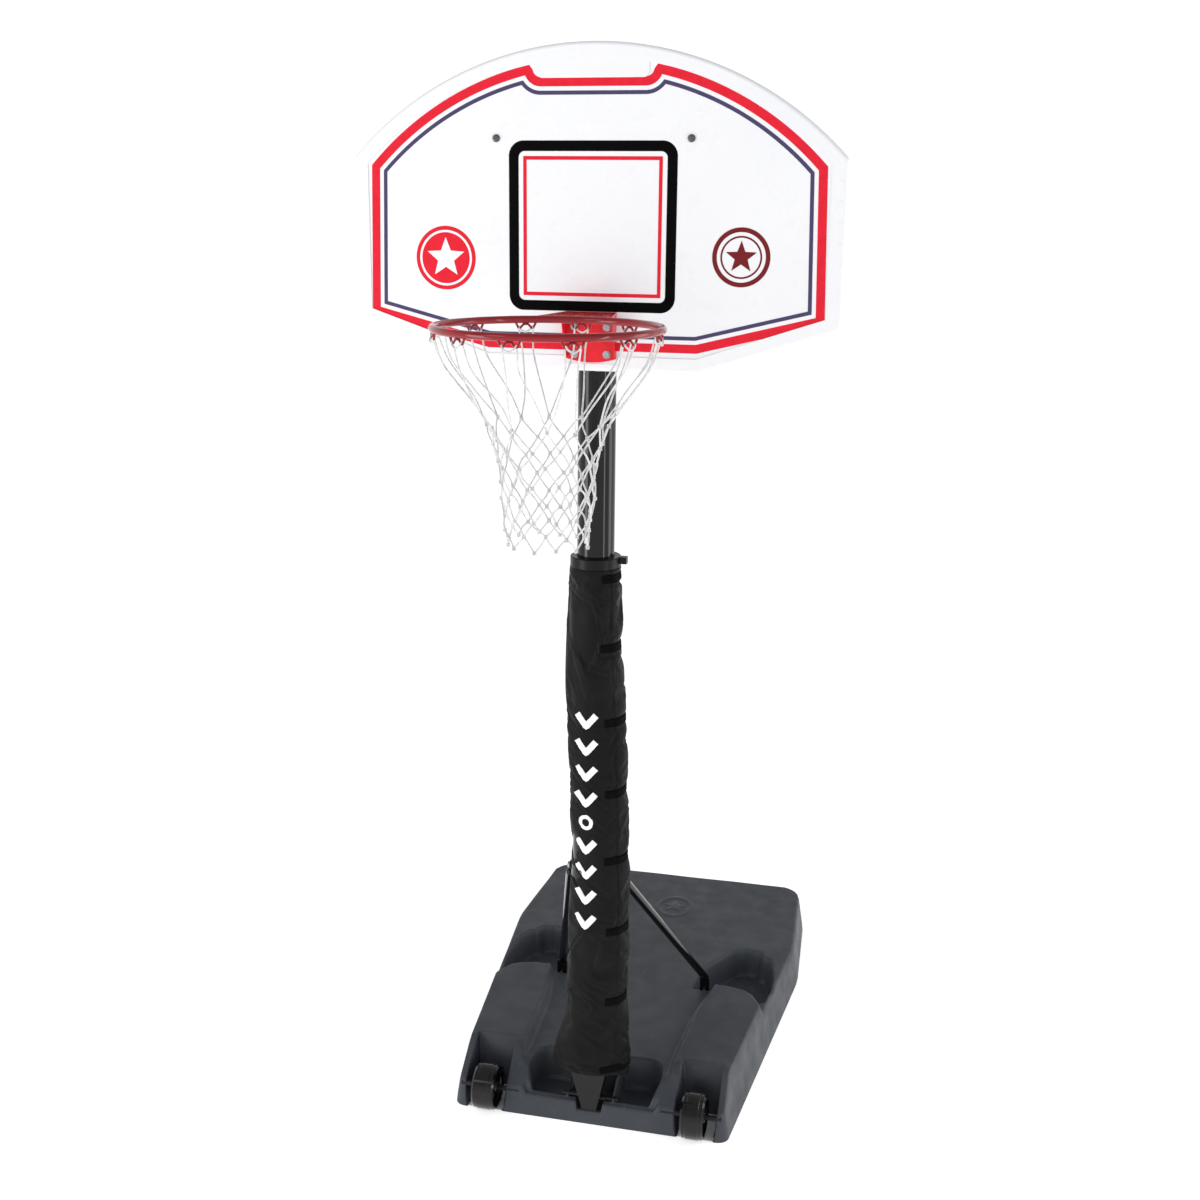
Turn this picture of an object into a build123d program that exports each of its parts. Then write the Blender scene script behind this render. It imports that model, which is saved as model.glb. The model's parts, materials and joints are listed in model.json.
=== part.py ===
from build123d import *
import math
import os

os.makedirs("parts", exist_ok=True)

# Portable basketball hoop, in millimetres.
# Origin: on the floor under the pole's axis. +Z up, -Y towards the player, +X to the player's right.

# Main heights and reaches
RIM_HEIGHT = 2102.0
RIM_TRAVEL = 948.0
BOARD_FACE_Y = -66.0
RIM_REACH = 372.0
RIM_Y = BOARD_FACE_Y - RIM_REACH

# Backboard outline, with heights measured from the rim
BOARD_HALF_WIDTH = 559.0
BOARD_ARC_RADIUS = 766.0
BOARD_ARC_CENTRE_Z = -182.5
BOARD_LOW_CORNER_Z = -21.0
BOARD_BOTTOM_HALF = 247.0
BOARD_BOTTOM_Z = -125.0
BOARD_SKIN = 4.0
BOARD_THICK = 18.0
BOARD_RIM_WIDTH = 34.0
BOARD_RIM_PROUD = 2.5
BOARD_RIM_DEPTH = 32.0
BOARD_BACK_Y = BOARD_FACE_Y + BOARD_THICK
RIB_THICK = 3.0
GROOVE_HEIGHTS = (165.0, 209.0, 254.0, 297.0)

# Rim, bracket, hooks and net
RIM_BAR_R = 8.0
RIM_RADIUS = 233.0
BRACKET_HALF = 59.0
BRACKET_DROP = 105.0
BRACKET_PLATE = 4.0
RIM_BOLT_X = 37.5
RIM_BOLT_ZS = (-86.5, -25.0)
HOOK_WIRE_R = 2.5
HOOK_COUNT = 12
HOOK_TURN = -3.0
NET_WALL = 1.2
NET_PROFILE = ((233, -27), (192, -110), (150, -178), (112, -238), (97, -310), (90, -386), (87, -446))

# Poles
UPPER_POLE_R = 45.0
UPPER_POLE_WALL = 2.5
LOWER_POLE_R = 51.0
LOWER_POLE_WALL = 3.0
LOWER_POLE_IN_R = LOWER_POLE_R - LOWER_POLE_WALL
LOWER_POLE_FOOT_Z = 162.0
FOOT_LOW_Z = 36.0
FOOT_PIN_Z = 62.0
LOWER_POLE_TOP_Z = 1527.0
UPPER_POLE_FOOT_Z = 340.0
UPPER_POLE_TOP_Z = RIM_HEIGHT + 470.0
BUSH_CLEARANCE = 0.05
STOP_GAP = 0.3
STOP_BOLT_R = 6.0
COLLAR_R = 61.0
COLLAR_HEIGHT = 25.0
COLLAR_BUSH_LENGTH = 60.0
CLAMP_Z = LOWER_POLE_TOP_Z - 9.0
SHOE_R = 7.0

# Saddle bracket and board arms
SADDLE_PLATE = 3.0
SADDLE_IN_HALF = 45.2
SADDLE_OUT_HALF = SADDLE_IN_HALF + SADDLE_PLATE
SADDLE_LOW_Z = -112.0
SADDLE_HIGH_Z = 120.0
SADDLE_BOLT_ZS = (-55.0, 90.0)
ARM_BOLT_X = 220.0
ARM_BOLT_Z = 382.0
ARM_TUBE_R = 9.0
TAB = 4.0

# Struts
STRUT_R = 11.0
STRUT_TOP_Z = 721.0
STRUT_FOOT = (216.0, 520.0, 150.0)
BAND_R = 55.0

# Base tank
TANK_HEIGHT = 150.0
DECK_HEIGHT = 120.0
TANK_WALL = 4.0
TANK_DRAFT = 9.0
TANK_FRONT_Y = -34.0
TANK_BACK_Y = 1282.0
TANK_FRONT_HALF = 368.0
TANK_MID_HALF = 459.0
TANK_MID_Y = 848.0
TANK_BACK_HALF = 435.0
LIP_HEIGHT = 57.0
LIP_THICK = 28.0
CAP_X = -185.0
CAP_Y = 906.0
CAP_R = 30.0
NECK_R = 22.0

# Wheels
WHEEL_R = 60.5
WHEEL_WIDTH = 60.0
WHEEL_X = 280.0
WHEEL_Y = -18.0
AXLE_R = 7.0
WELL_IN_X = 233.0
WELL_OUT_X = 335.0
WELL_BACK_Y = 91.0

# Pad: height, centre x, half width and half depth of each section
PAD_SECTIONS = (
    (171, 6, 100, 80),
    (283, 8, 87, 72),
    (419, 15, 78, 66),
    (682, 18, 76, 64),
    (926, 14, 71, 63),
    (1166, 3, 75, 63),
    (1295, -2, 67, 62),
    (1508, 0, 64, 61),
)
PAD_BORE_R = 51.3
STRAP_HEIGHTS = (199, 394, 574, 748, 929, 1115, 1300, 1475)
STRAP_TALL = 24.0
STRAP_THICK = 2.0


def save(name, *shapes):
    """Write one node, as one solid or a group of separate solids."""
    solids = [solid for shape in shapes for solid in shape.solids()]
    export_step(Compound(label=name, children=solids), f"parts/{name}.step")


def rod(start, end, radius):
    """A round rod between two points."""
    start, end = Vector(*start), Vector(*end)
    axis = end - start
    return Plane(origin=start, z_dir=axis) * Cylinder(
        radius, axis.length, align=(Align.CENTER, Align.CENTER, Align.MIN)
    )


def tube(outer, inner, low, high):
    """An upright tube on the pole's axis."""
    return rod((0, 0, low), (0, 0, high), outer) - rod((0, 0, low - 1), (0, 0, high + 1), inner)


def block(low, high):
    """A box between two corners."""
    centre = [(a + b) / 2 for a, b in zip(low, high)]
    sides = [b - a for a, b in zip(low, high)]
    return Pos(*centre) * Box(*sides)


def prism(face, low, high):
    """A flat face in plan, raised between two heights."""
    return Pos(0, 0, low) * extrude(face, amount=high - low)


def plan(points, radius=0):
    """A filled outline in plan, with every corner rounded alike."""
    face = make_face(Polyline(*points, close=True))
    if radius:
        face = fillet(face.vertices(), radius)
    return face


def mirrored(shape):
    """The shape and its mirror image across the centre plane."""
    return [shape, mirror(shape, Plane.YZ)]


def hexagon(start, end, across_flats):
    """A hexagonal head or nut between two points of its axis."""
    start, end = Vector(*start), Vector(*end)
    axis = end - start
    face = RegularPolygon(across_flats / 2, 6, major_radius=False)
    return Plane(origin=start, z_dir=axis) * extrude(face, amount=axis.length)


# ---------------------------------------------------------------- base tank


def tank_outline(inset):
    """The tank's foot in plan, drawn in by a wall thickness."""
    right = [
        (TANK_FRONT_HALF, TANK_FRONT_Y),
        (TANK_MID_HALF, TANK_MID_Y),
        (TANK_BACK_HALF, TANK_BACK_Y),
    ]
    left = [(-x, y) for x, y in reversed(right)]
    face = plan(right + left)
    for y, radius in ((TANK_BACK_Y, 90), (TANK_FRONT_Y, 30)):
        corners = face.vertices().filter_by_position(Axis.Y, y - 1, y + 1)
        face = fillet(corners, radius)
    return offset(face, amount=-inset) if inset else face


def grown(face, amount):
    """An outline in plan, grown by a wall thickness."""
    return offset(face, amount=amount) if amount else face


def crest_cut(inset):
    """What is taken away above the rear deck, behind the two shoulders."""
    right = [(245, 518), (297, 514), (341, 502), (371, 479), (394, 438), (415, 391), (514, 345)]
    left = [(-x, y) for x, y in reversed(right)]
    face = plan(right + [(514, 1350), (-514, 1350)] + left)
    return prism(grown(face, inset), DECK_HEIGHT - inset, TANK_HEIGHT + 50)


def valley_cut(inset):
    """The lowered middle between the two shoulders."""
    right = [(198, -90), (200, 119), (211, 335), (245, 541)]
    left = [(-x, y) for x, y in reversed(right)]
    return prism(grown(plan(right + left), inset), DECK_HEIGHT - inset, TANK_HEIGHT + 50)


def front_slope_cut(inset):
    """The front of the shoulders, sloping down to the wheels."""
    face = make_face(Polyline((-120, 40), (-34, 57), (77, 150), (139, 200), (-120, 200), close=True))
    face = grown(face, inset)
    return Plane.YZ * Pos(0, 0, -600) * extrude(face, amount=1200)


def lip_cut(inset):
    """The low lip across the front, between the wheels."""
    low = (-178 - inset, -90, LIP_HEIGHT - inset)
    return block(low, (178 + inset, TANK_FRONT_Y + LIP_THICK + inset, 220))


def pocket_cut(inset):
    """The pocket on the right of the pole's foot."""
    y0 = TANK_FRONT_Y + LIP_THICK
    face = plan([(62, y0), (160, y0), (176, 40), (168, 112), (62, 108)])
    rear = face.vertices().filter_by_position(Axis.Y, 100, 120)
    face = fillet(rear.filter_by_position(Axis.X, 100, 200), 40)
    return prism(grown(face, inset), 28 - inset, 220)


def slot_cut(inset):
    """The slot that holds the pole's foot, open through the lip."""
    y0 = TANK_FRONT_Y + LIP_THICK
    behind = prism(grown(plan([(-56, y0), (56, y0), (56, 78), (-56, 78)]), inset), 12 - inset, 220)
    through = prism(grown(plan([(-35, -90), (35, -90), (35, 20), (-35, 20)]), inset), 34 - inset, 220)
    return behind + through


def well_cut(inset):
    """The well of the right wheel, open in front, above and below."""
    face = plan([(WELL_IN_X, -90), (WELL_OUT_X, -90), (WELL_OUT_X, WELL_BACK_Y), (WELL_IN_X, WELL_BACK_Y)])
    return prism(grown(face, inset), -20, 220)


def pit_outline():
    """The hand-hold pit behind the right shoulder, in plan."""
    points = [
        (184, 520),
        (190, 625),
        (226, 698),
        (266, 765),
        (306, 789),
        (341, 783),
        (355, 752),
        (377, 754),
        (401, 708),
        (414, 641),
        (420, 553),
        (419, 408),
        (392, 450),
        (370, 489),
        (337, 508),
        (287, 520),
    ]
    return plan(points)


def pit_cut(inset):
    """The hand-hold pit behind the right shoulder."""
    return prism(grown(pit_outline(), inset), 36 - inset, 220)


def tank_form(inset):
    """The tank's outer form, or its inner cavity when drawn in by the wall."""
    height = TANK_HEIGHT - 2 * inset
    form = Pos(0, 0, inset) * extrude(tank_outline(inset), amount=height, taper=TANK_DRAFT)
    form -= crest_cut(inset)
    form -= valley_cut(inset)
    form -= front_slope_cut(inset)
    form -= lip_cut(inset)
    form -= slot_cut(inset)
    for cut in (pocket_cut(inset), well_cut(inset), pit_cut(inset)):
        for side in mirrored(cut):
            form -= side
    return form


def base_tank():
    """The hollow moulded tank with its filler neck and the bores for axles, foot pin and bolts."""
    tank = tank_form(0) - tank_form(TANK_WALL)
    neck = rod((CAP_X, CAP_Y, DECK_HEIGHT - TANK_WALL), (CAP_X, CAP_Y, DECK_HEIGHT + 12), NECK_R)
    mouth = rod((CAP_X, CAP_Y, DECK_HEIGHT - 10), (CAP_X, CAP_Y, DECK_HEIGHT + 20), NECK_R - 4)
    tank = tank + neck - mouth
    for side in (-1, 1):
        tank -= rod((side * 190, WHEEL_Y, WHEEL_R), (side * 354, WHEEL_Y, WHEEL_R), AXLE_R)
        x, y, z = side * STRUT_FOOT[0], STRUT_FOOT[1], STRUT_FOOT[2]
        tank -= rod((x, y - 12, z - 28), (x, y + 12, z - 28), 4)
    return tank - foot_pin()


def tank_cap():
    """The ribbed screw cap on the filler neck."""
    top = DECK_HEIGHT + 20
    cap = rod((CAP_X, CAP_Y, DECK_HEIGHT + 1), (CAP_X, CAP_Y, top), CAP_R)
    cap -= rod((CAP_X, CAP_Y, DECK_HEIGHT), (CAP_X, CAP_Y, DECK_HEIGHT + 14.5), NECK_R + 0.3)
    grip = block((CAP_X - 22, CAP_Y - 4, top), (CAP_X + 22, CAP_Y + 4, top + 8))
    for index in range(24):
        angle = math.radians(index * 15)
        x = CAP_X + CAP_R * math.cos(angle)
        y = CAP_Y + CAP_R * math.sin(angle)
        cap -= rod((x, y, DECK_HEIGHT), (x, y, top + 1), 1.5)
    return cap + grip


def tank_cap_seal():
    """The flat ring seal between the neck and the cap."""
    low, high = DECK_HEIGHT + 12, DECK_HEIGHT + 14.5
    return rod((CAP_X, CAP_Y, low), (CAP_X, CAP_Y, high), NECK_R - 0.5) - rod(
        (CAP_X, CAP_Y, low - 1), (CAP_X, CAP_Y, high + 1), NECK_R - 5
    )


def wheel(side):
    """A moulded wheel with a stepped tread, dished sides and a bore."""
    half = WHEEL_WIDTH / 2
    profile = [
        (AXLE_R + BUSH_CLEARANCE, -half + 2),
        (16, -half + 2),
        (18, -half + 10),
        (46, -half + 10),
        (50, -half),
        (55, -half),
        (WHEEL_R - 1.5, -half + 5),
        (WHEEL_R - 1.5, -half + 13),
        (WHEEL_R, -half + 14.5),
        (WHEEL_R, half - 14.5),
        (WHEEL_R - 1.5, half - 13),
        (WHEEL_R - 1.5, half - 5),
        (55, half),
        (50, half),
        (46, half - 10),
        (18, half - 10),
        (16, half - 2),
        (AXLE_R + BUSH_CLEARANCE, half - 2),
    ]
    face = make_face(Polyline(*[(r, 0, z) for r, z in profile], close=True))
    body = revolve(face, Axis.Z)
    return Pos(side * WHEEL_X, WHEEL_Y, WHEEL_R) * Rot(0, 90, 0) * body


def axle_pins():
    """The two plain axle pins, held by both cheeks of each wheel well."""
    return [
        rod((side * 192, WHEEL_Y, WHEEL_R), (side * 352, WHEEL_Y, WHEEL_R), AXLE_R) for side in (-1, 1)
    ]


# ---------------------------------------------------------------- lower pole


def pole_foot():
    """The tapered foot under the pole, pinned in the tank's slot."""
    top = Pos(0, 0, LOWER_POLE_FOOT_Z - 6) * Rectangle(92, 80)
    bottom = Pos(0, 0, FOOT_LOW_Z) * Rectangle(38, 50)
    outer = loft([bottom, top])
    inner_top = Pos(0, 0, LOWER_POLE_FOOT_Z - 6) * Rectangle(84, 72)
    inner_bottom = Pos(0, 0, FOOT_LOW_Z) * Rectangle(30, 42)
    shell = outer - loft([inner_bottom, inner_top])
    flange = rod((0, 0, LOWER_POLE_FOOT_Z - 6), (0, 0, LOWER_POLE_FOOT_Z), LOWER_POLE_R + 4)
    return shell + flange - foot_pin()


def foot_pin():
    """The pin through the pole's foot and the walls of its slot."""
    return rod((-75, 0, FOOT_PIN_Z), (75, 0, FOOT_PIN_Z), 8)


def clamp_axis(y_low, y_high, radius):
    """A rod along the height clamp's screw."""
    return rod((0, y_low, CLAMP_Z), (0, y_high, CLAMP_Z), radius)


def lower_pole():
    """The outer pole, with holes for the stop bolt, strut bolts and height clamp."""
    pole = tube(LOWER_POLE_R, LOWER_POLE_IN_R, LOWER_POLE_FOOT_Z, LOWER_POLE_TOP_Z)
    pole -= rod((-70, 0, stop_bolt_z()), (70, 0, stop_bolt_z()), STOP_BOLT_R)
    pole -= rod((-70, 0, STRUT_TOP_Z), (70, 0, STRUT_TOP_Z), 5)
    return pole - clamp_axis(0, 60, SHOE_R + BUSH_CLEARANCE)


def pole_collar():
    """The collar over the top of the lower pole, with a side lug and the clamp screw's boss."""
    low = LOWER_POLE_TOP_Z + 6 - COLLAR_HEIGHT
    high = LOWER_POLE_TOP_Z + 6
    collar = rod((0, 0, low), (0, 0, high), COLLAR_R)
    collar = fillet(collar.edges().group_by(Axis.Z)[-1], 3)
    collar += block((52, -9, low + 8), (77, 9, high))
    collar += clamp_axis(54, 74, 11)
    collar -= rod((0, 0, low - 1), (0, 0, LOWER_POLE_TOP_Z), LOWER_POLE_R)
    collar -= rod((0, 0, low - 1), (0, 0, high + 1), UPPER_POLE_R + 0.6)
    collar -= clamp_axis(0, 56, SHOE_R + BUSH_CLEARANCE)
    return collar - clamp_axis(50, 80, 5 + BUSH_CLEARANCE)


def collar_bush():
    """The fixed guide bush inside the top of the lower pole."""
    bush = tube(
        LOWER_POLE_IN_R,
        UPPER_POLE_R + BUSH_CLEARANCE,
        LOWER_POLE_TOP_Z - COLLAR_BUSH_LENGTH,
        LOWER_POLE_TOP_Z,
    )
    return bush - clamp_axis(0, 60, SHOE_R + BUSH_CLEARANCE)


def clamp_shoe():
    """The shoe that presses on the upper pole."""
    return clamp_axis(UPPER_POLE_R + 0.3, UPPER_POLE_R + 4.3, SHOE_R)


def clamp_screw():
    """The clamp screw, with the neck that the knob is fixed on."""
    return clamp_axis(UPPER_POLE_R + 4.3, 98, 5)


def clamp_knob():
    """The knob with four rounded lobes."""
    knob = clamp_axis(78, 98, 16)
    for quarter in range(4):
        angle = math.radians(45 + 90 * quarter)
        x, z = 15 * math.cos(angle), CLAMP_Z + 15 * math.sin(angle)
        knob += rod((x, 78, z), (x, 98, z), 9)
    knob += clamp_axis(98, 101, 12)
    return knob - clamp_axis(70, 98, 5)


def stop_bolt_z():
    """Height of the bolt that the upper pole rests on."""
    return UPPER_POLE_FOOT_Z - 4 - STOP_GAP - STOP_BOLT_R


def stop_bolt():
    """The cross bolt that the upper pole rests on."""
    z = stop_bolt_z()
    return rod((-51.5, 0, z), (62, 0, z), STOP_BOLT_R) + hexagon((-58, 0, z), (-51.5, 0, z), 18)


def stop_bolt_nut():
    """The nut of the cross bolt."""
    z = stop_bolt_z()
    return hexagon((51.5, 0, z), (60, 0, z), 18) - rod((40, 0, z), (70, 0, z), STOP_BOLT_R)


# ---------------------------------------------------------------- struts


def flat_tab(x_low, x_high, y0, z0, y1, z1, width):
    """A flat tab across X that runs between two points, with round ends."""
    length = math.hypot(y1 - y0, z1 - z0)
    angle = math.degrees(math.atan2(z1 - z0, y1 - y0))
    face = Pos((y0 + y1) / 2, (z0 + z1) / 2) * Rot(0, 0, angle) * SlotCenterToCenter(length, width)
    return Plane.YZ * Pos(0, 0, x_low) * extrude(face, amount=x_high - x_low)


def strut_line():
    """The right strut's lower end, upper end and the middle of its upper bolt."""
    foot = Vector(STRUT_FOOT[0], STRUT_FOOT[1] + 10, STRUT_FOOT[2] + 4)
    top = Vector(BAND_R + 3, 0, STRUT_TOP_Z)
    return foot, top + (foot - top) * 0.065, top


def strut():
    """The right strut: a tube with a flattened tab at each end."""
    start, end, _ = strut_line()
    body = rod(tuple(start), tuple(end), STRUT_R)
    body += flat_tab(BAND_R, BAND_R + TAB, 0, STRUT_TOP_Z, end.Y, end.Z, 26)
    body += sphere_at(tuple(end), STRUT_R) & block((BAND_R, -200, 0), (400, 200, 1500))
    x, y, z = STRUT_FOOT
    body += block((x - 14, y, z - 44), (x + 14, y + TAB, z + 6))
    body += sphere_at(tuple(start), STRUT_R) & block((0, y, 0), (400, 700, 400))
    body -= rod((40, 0, STRUT_TOP_Z), (80, 0, STRUT_TOP_Z), 5)
    return body - rod((x, y - 10, z - 28), (x, y + 30, z - 28), 4)


def sphere_at(centre, radius):
    """A ball at a point."""
    return Pos(*centre) * Sphere(radius)


def strut_band():
    """The band round the lower pole that the struts bolt to."""
    band = tube(BAND_R, LOWER_POLE_R, STRUT_TOP_Z - 16, STRUT_TOP_Z + 16)
    flats = block((-BAND_R, -60, STRUT_TOP_Z - 16), (BAND_R, 60, STRUT_TOP_Z + 16))
    return (band & flats) - rod((-70, 0, STRUT_TOP_Z), (70, 0, STRUT_TOP_Z), 5)


def strut_top_bolts():
    """The two bolts that hold the strut tabs to the band."""
    return [
        rod((side * 48.5, 0, STRUT_TOP_Z), (side * 59, 0, STRUT_TOP_Z), 5)
        + hexagon((side * 59, 0, STRUT_TOP_Z), (side * 65, 0, STRUT_TOP_Z), 16)
        for side in (-1, 1)
    ]


def strut_foot_bolts():
    """The two bolts that hold the strut feet to the back of the shoulders."""
    x, y, z = STRUT_FOOT
    return [
        rod((side * x, y - 10, z - 28), (side * x, y + TAB, z - 28), 4)
        + hexagon((side * x, y + TAB, z - 28), (side * x, y + TAB + 5.5, z - 28), 13)
        for side in (-1, 1)
    ]


# ---------------------------------------------------------------- pad


def pole_pad():
    """The foam sleeve round the lower pole, cut away round struts and bolts."""
    sections = [Pos(x, 0, z) * Ellipse(half, depth) for z, x, half, depth in PAD_SECTIONS]
    pad = loft(sections) - rod((0, 0, 100), (0, 0, 1700), PAD_BORE_R)
    foot, end, top = strut_line()
    hole = rod(tuple(top), tuple(foot), STRUT_R + 2)
    hole += flat_tab(BAND_R - 1, BAND_R + 24, 0, STRUT_TOP_Z, end.Y, end.Z, 40)
    for side in mirrored(hole):
        pad -= side
    pad -= tube(BAND_R + 0.5, 40, STRUT_TOP_Z - 17, STRUT_TOP_Z + 17)
    pad -= rod((-66, 0, stop_bolt_z()), (66, 0, stop_bolt_z()), 12)
    pad -= rod((0, 0, LOWER_POLE_FOOT_Z - 10), (0, 0, LOWER_POLE_FOOT_Z + 14), LOWER_POLE_R + 5)
    return pad - clamp_axis(40, 140, 13)


def pad_width_at(height):
    """Centre and half sizes of the pad at a height."""
    for low, high in zip(PAD_SECTIONS, PAD_SECTIONS[1:]):
        if low[0] <= height <= high[0]:
            part = (height - low[0]) / (high[0] - low[0])
            return [a + (b - a) * part for a, b in zip(low[1:], high[1:])]
    return PAD_SECTIONS[-1][1:]


def pad_straps(pad):
    """The hook-and-loop straps across the pad's closing edge, on its right."""
    straps = []
    for height in STRAP_HEIGHTS:
        centre, half, depth = pad_width_at(height)
        grow = STRAP_THICK + 0.5
        face = Pos(centre, 0, height - STRAP_TALL / 2) * Ellipse(half + grow, depth + grow)
        band = extrude(face, amount=STRAP_TALL) & block((30, -200, 0), (200, 200, 1700))
        hole = Pos(centre, 0, height - STRAP_TALL / 2) * Ellipse(half + 0.3, depth + 0.3)
        band -= extrude(hole, amount=STRAP_TALL)
        straps.append((band - pad).solids().sort_by(SortBy.VOLUME)[-1])
    return straps


# ---------------------------------------------------------------- upper pole


def upper_pole():
    """The sliding inner pole, drilled for the saddle's bolts."""
    pole = tube(UPPER_POLE_R, UPPER_POLE_R - UPPER_POLE_WALL, UPPER_POLE_FOOT_Z, UPPER_POLE_TOP_Z)
    for z in SADDLE_BOLT_ZS:
        pole -= rod((-60, 0, RIM_HEIGHT + z), (60, 0, RIM_HEIGHT + z), 5)
    return pole


def guide_bush():
    """The bush on the foot of the upper pole, running in the lower pole."""
    low = UPPER_POLE_FOOT_Z - 4
    sleeve = tube(LOWER_POLE_IN_R - BUSH_CLEARANCE, UPPER_POLE_R, UPPER_POLE_FOOT_Z, low + 64)
    return sleeve + tube(LOWER_POLE_IN_R - BUSH_CLEARANCE, 38, low, UPPER_POLE_FOOT_Z)


def travel_stop_ring():
    """The ring on the upper pole that meets the collar bush at full height."""
    high = LOWER_POLE_TOP_Z - COLLAR_BUSH_LENGTH - RIM_TRAVEL - STOP_GAP
    return tube(LOWER_POLE_IN_R - 0.4, UPPER_POLE_R, high - 20, high)


def pole_cap():
    """The cap that closes the top of the upper pole."""
    plug = rod((0, 0, UPPER_POLE_TOP_Z - 20), (0, 0, UPPER_POLE_TOP_Z), UPPER_POLE_R - UPPER_POLE_WALL)
    plug -= rod((0, 0, UPPER_POLE_TOP_Z - 21), (0, 0, UPPER_POLE_TOP_Z - 3), UPPER_POLE_R - 6)
    head = rod((0, 0, UPPER_POLE_TOP_Z), (0, 0, UPPER_POLE_TOP_Z + 8), UPPER_POLE_R)
    return plug + fillet(head.edges().group_by(Axis.Z)[-1], 5)


# ---------------------------------------------------------------- backboard


def front_plane(y):
    """A plane that faces the player, with its origin at rim height."""
    return Plane(origin=(0, y, RIM_HEIGHT), x_dir=(1, 0, 0), z_dir=(0, -1, 0))


def board_outline():
    """The fan-shaped outline of the board."""
    side_z = BOARD_ARC_CENTRE_Z + math.sqrt(BOARD_ARC_RADIUS**2 - BOARD_HALF_WIDTH**2)
    crown = BOARD_ARC_CENTRE_Z + BOARD_ARC_RADIUS
    lower = Polyline(
        (-BOARD_HALF_WIDTH, side_z),
        (-BOARD_HALF_WIDTH, BOARD_LOW_CORNER_Z),
        (-BOARD_BOTTOM_HALF, BOARD_BOTTOM_Z),
        (BOARD_BOTTOM_HALF, BOARD_BOTTOM_Z),
        (BOARD_HALF_WIDTH, BOARD_LOW_CORNER_Z),
        (BOARD_HALF_WIDTH, side_z),
    )
    arc = ThreePointArc((BOARD_HALF_WIDTH, side_z), (0, crown), (-BOARD_HALF_WIDTH, side_z))
    face = make_face(lower + arc)
    return fillet(face.vertices(), 18)


def slab(face, y_front, y_back):
    """A face in the board's plane, given thickness between two depths."""
    return front_plane(y_back) * extrude(face, amount=y_back - y_front)


def board_ribs():
    """The rib lattice behind the board's skin."""
    y0, y1 = BOARD_FACE_Y + BOARD_SKIN, BOARD_BACK_Y
    ribs = []
    for index in range(-5, 6):
        x = index * 95.0
        ribs.append(block((x - 1.5, y0, RIM_HEIGHT - 140), (x + 1.5, y1, RIM_HEIGHT + 600)))
    for index in range(-1, 6):
        z = RIM_HEIGHT + 10 + index * 95.0
        ribs.append(block((-570, y0, z - 1.5), (570, y1, z + 1.5)))
    return ribs


def backboard():
    """The moulded board: skin, rolled rim, back lattice and bolt bosses."""
    outline = board_outline()
    y_rim = BOARD_FACE_Y - BOARD_RIM_PROUD
    y_end = y_rim + BOARD_RIM_DEPTH
    rim = slab(outline, y_rim, y_end)
    front_edges = rim.edges().filter_by_position(Axis.Y, y_rim - 0.1, y_rim + 0.1)
    rim = fillet(front_edges, 9)
    inside = offset(outline, amount=-BOARD_SKIN)
    field = offset(outline, amount=-BOARD_RIM_WIDTH)
    rim -= slab(inside, BOARD_FACE_Y + BOARD_SKIN, y_end + 1)
    rim -= slab(field, y_rim - 1, BOARD_FACE_Y)
    ledge = slab(field, BOARD_FACE_Y + BOARD_SKIN, BOARD_BACK_Y)
    ledge -= slab(offset(field, amount=-RIB_THICK), BOARD_FACE_Y, BOARD_BACK_Y + 1)
    core = slab(inside, BOARD_FACE_Y + BOARD_SKIN, BOARD_BACK_Y)
    board = rim + ledge
    board += [rib & core for rib in board_ribs()]
    pad = block(
        (-72, BOARD_FACE_Y + 1, RIM_HEIGHT + SADDLE_LOW_Z), (72, BOARD_BACK_Y, RIM_HEIGHT + SADDLE_HIGH_Z)
    )
    board += pad & slab(inside, BOARD_FACE_Y, BOARD_BACK_Y)
    for x in (-ARM_BOLT_X, ARM_BOLT_X):
        z = RIM_HEIGHT + ARM_BOLT_Z
        board += rod((x, BOARD_FACE_Y + 1, z), (x, BOARD_BACK_Y, z), 26)
        board -= rod((x, -90, z), (x, -30, z), 4.3)
    for x in (-RIM_BOLT_X, RIM_BOLT_X):
        for z in RIM_BOLT_ZS:
            board -= rod((x, -90, RIM_HEIGHT + z), (x, -30, RIM_HEIGHT + z), 4.3)
    bracket_seat = block(
        (-BRACKET_HALF - 3, y_rim - 1, RIM_HEIGHT - BRACKET_DROP - 3),
        (BRACKET_HALF + 3, BOARD_FACE_Y, RIM_HEIGHT),
    )
    board -= bracket_seat
    board -= rod((0, 0, RIM_HEIGHT - 200), (0, 0, RIM_HEIGHT), UPPER_POLE_R + 1.5)
    name_panel = front_plane(BOARD_FACE_Y) * Pos(0, 530) * extrude(RectangleRounded(250, 44, 12), amount=2)
    board += name_panel
    for z in GROOVE_HEIGHTS:
        for side in (-1, 1):
            x = sorted((side * 544, side * 575))
            low = (x[0], y_rim - 5, RIM_HEIGHT + z - 1.5)
            board -= block(low, (x[1], y_rim + 1.2, RIM_HEIGHT + z + 1.5))
    return board


def saddle_bracket():
    """The channel that clasps the upper pole behind the board."""
    low, high = RIM_HEIGHT + SADDLE_LOW_Z, RIM_HEIGHT + SADDLE_HIGH_Z
    y0 = BOARD_BACK_Y
    bracket = block((-66, y0, low), (66, y0 + SADDLE_PLATE, high))
    for side in (-1, 1):
        x = sorted((side * SADDLE_IN_HALF, side * SADDLE_OUT_HALF))
        bracket += block((x[0], y0, low), (x[1], 26, high))
    for z in SADDLE_BOLT_ZS:
        bracket -= rod((-70, 0, RIM_HEIGHT + z), (70, 0, RIM_HEIGHT + z), 5)
    for x in (-RIM_BOLT_X, RIM_BOLT_X):
        for z in RIM_BOLT_ZS:
            bracket -= rod((x, -90, RIM_HEIGHT + z), (x, -30, RIM_HEIGHT + z), 4.3)
    return bracket


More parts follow.
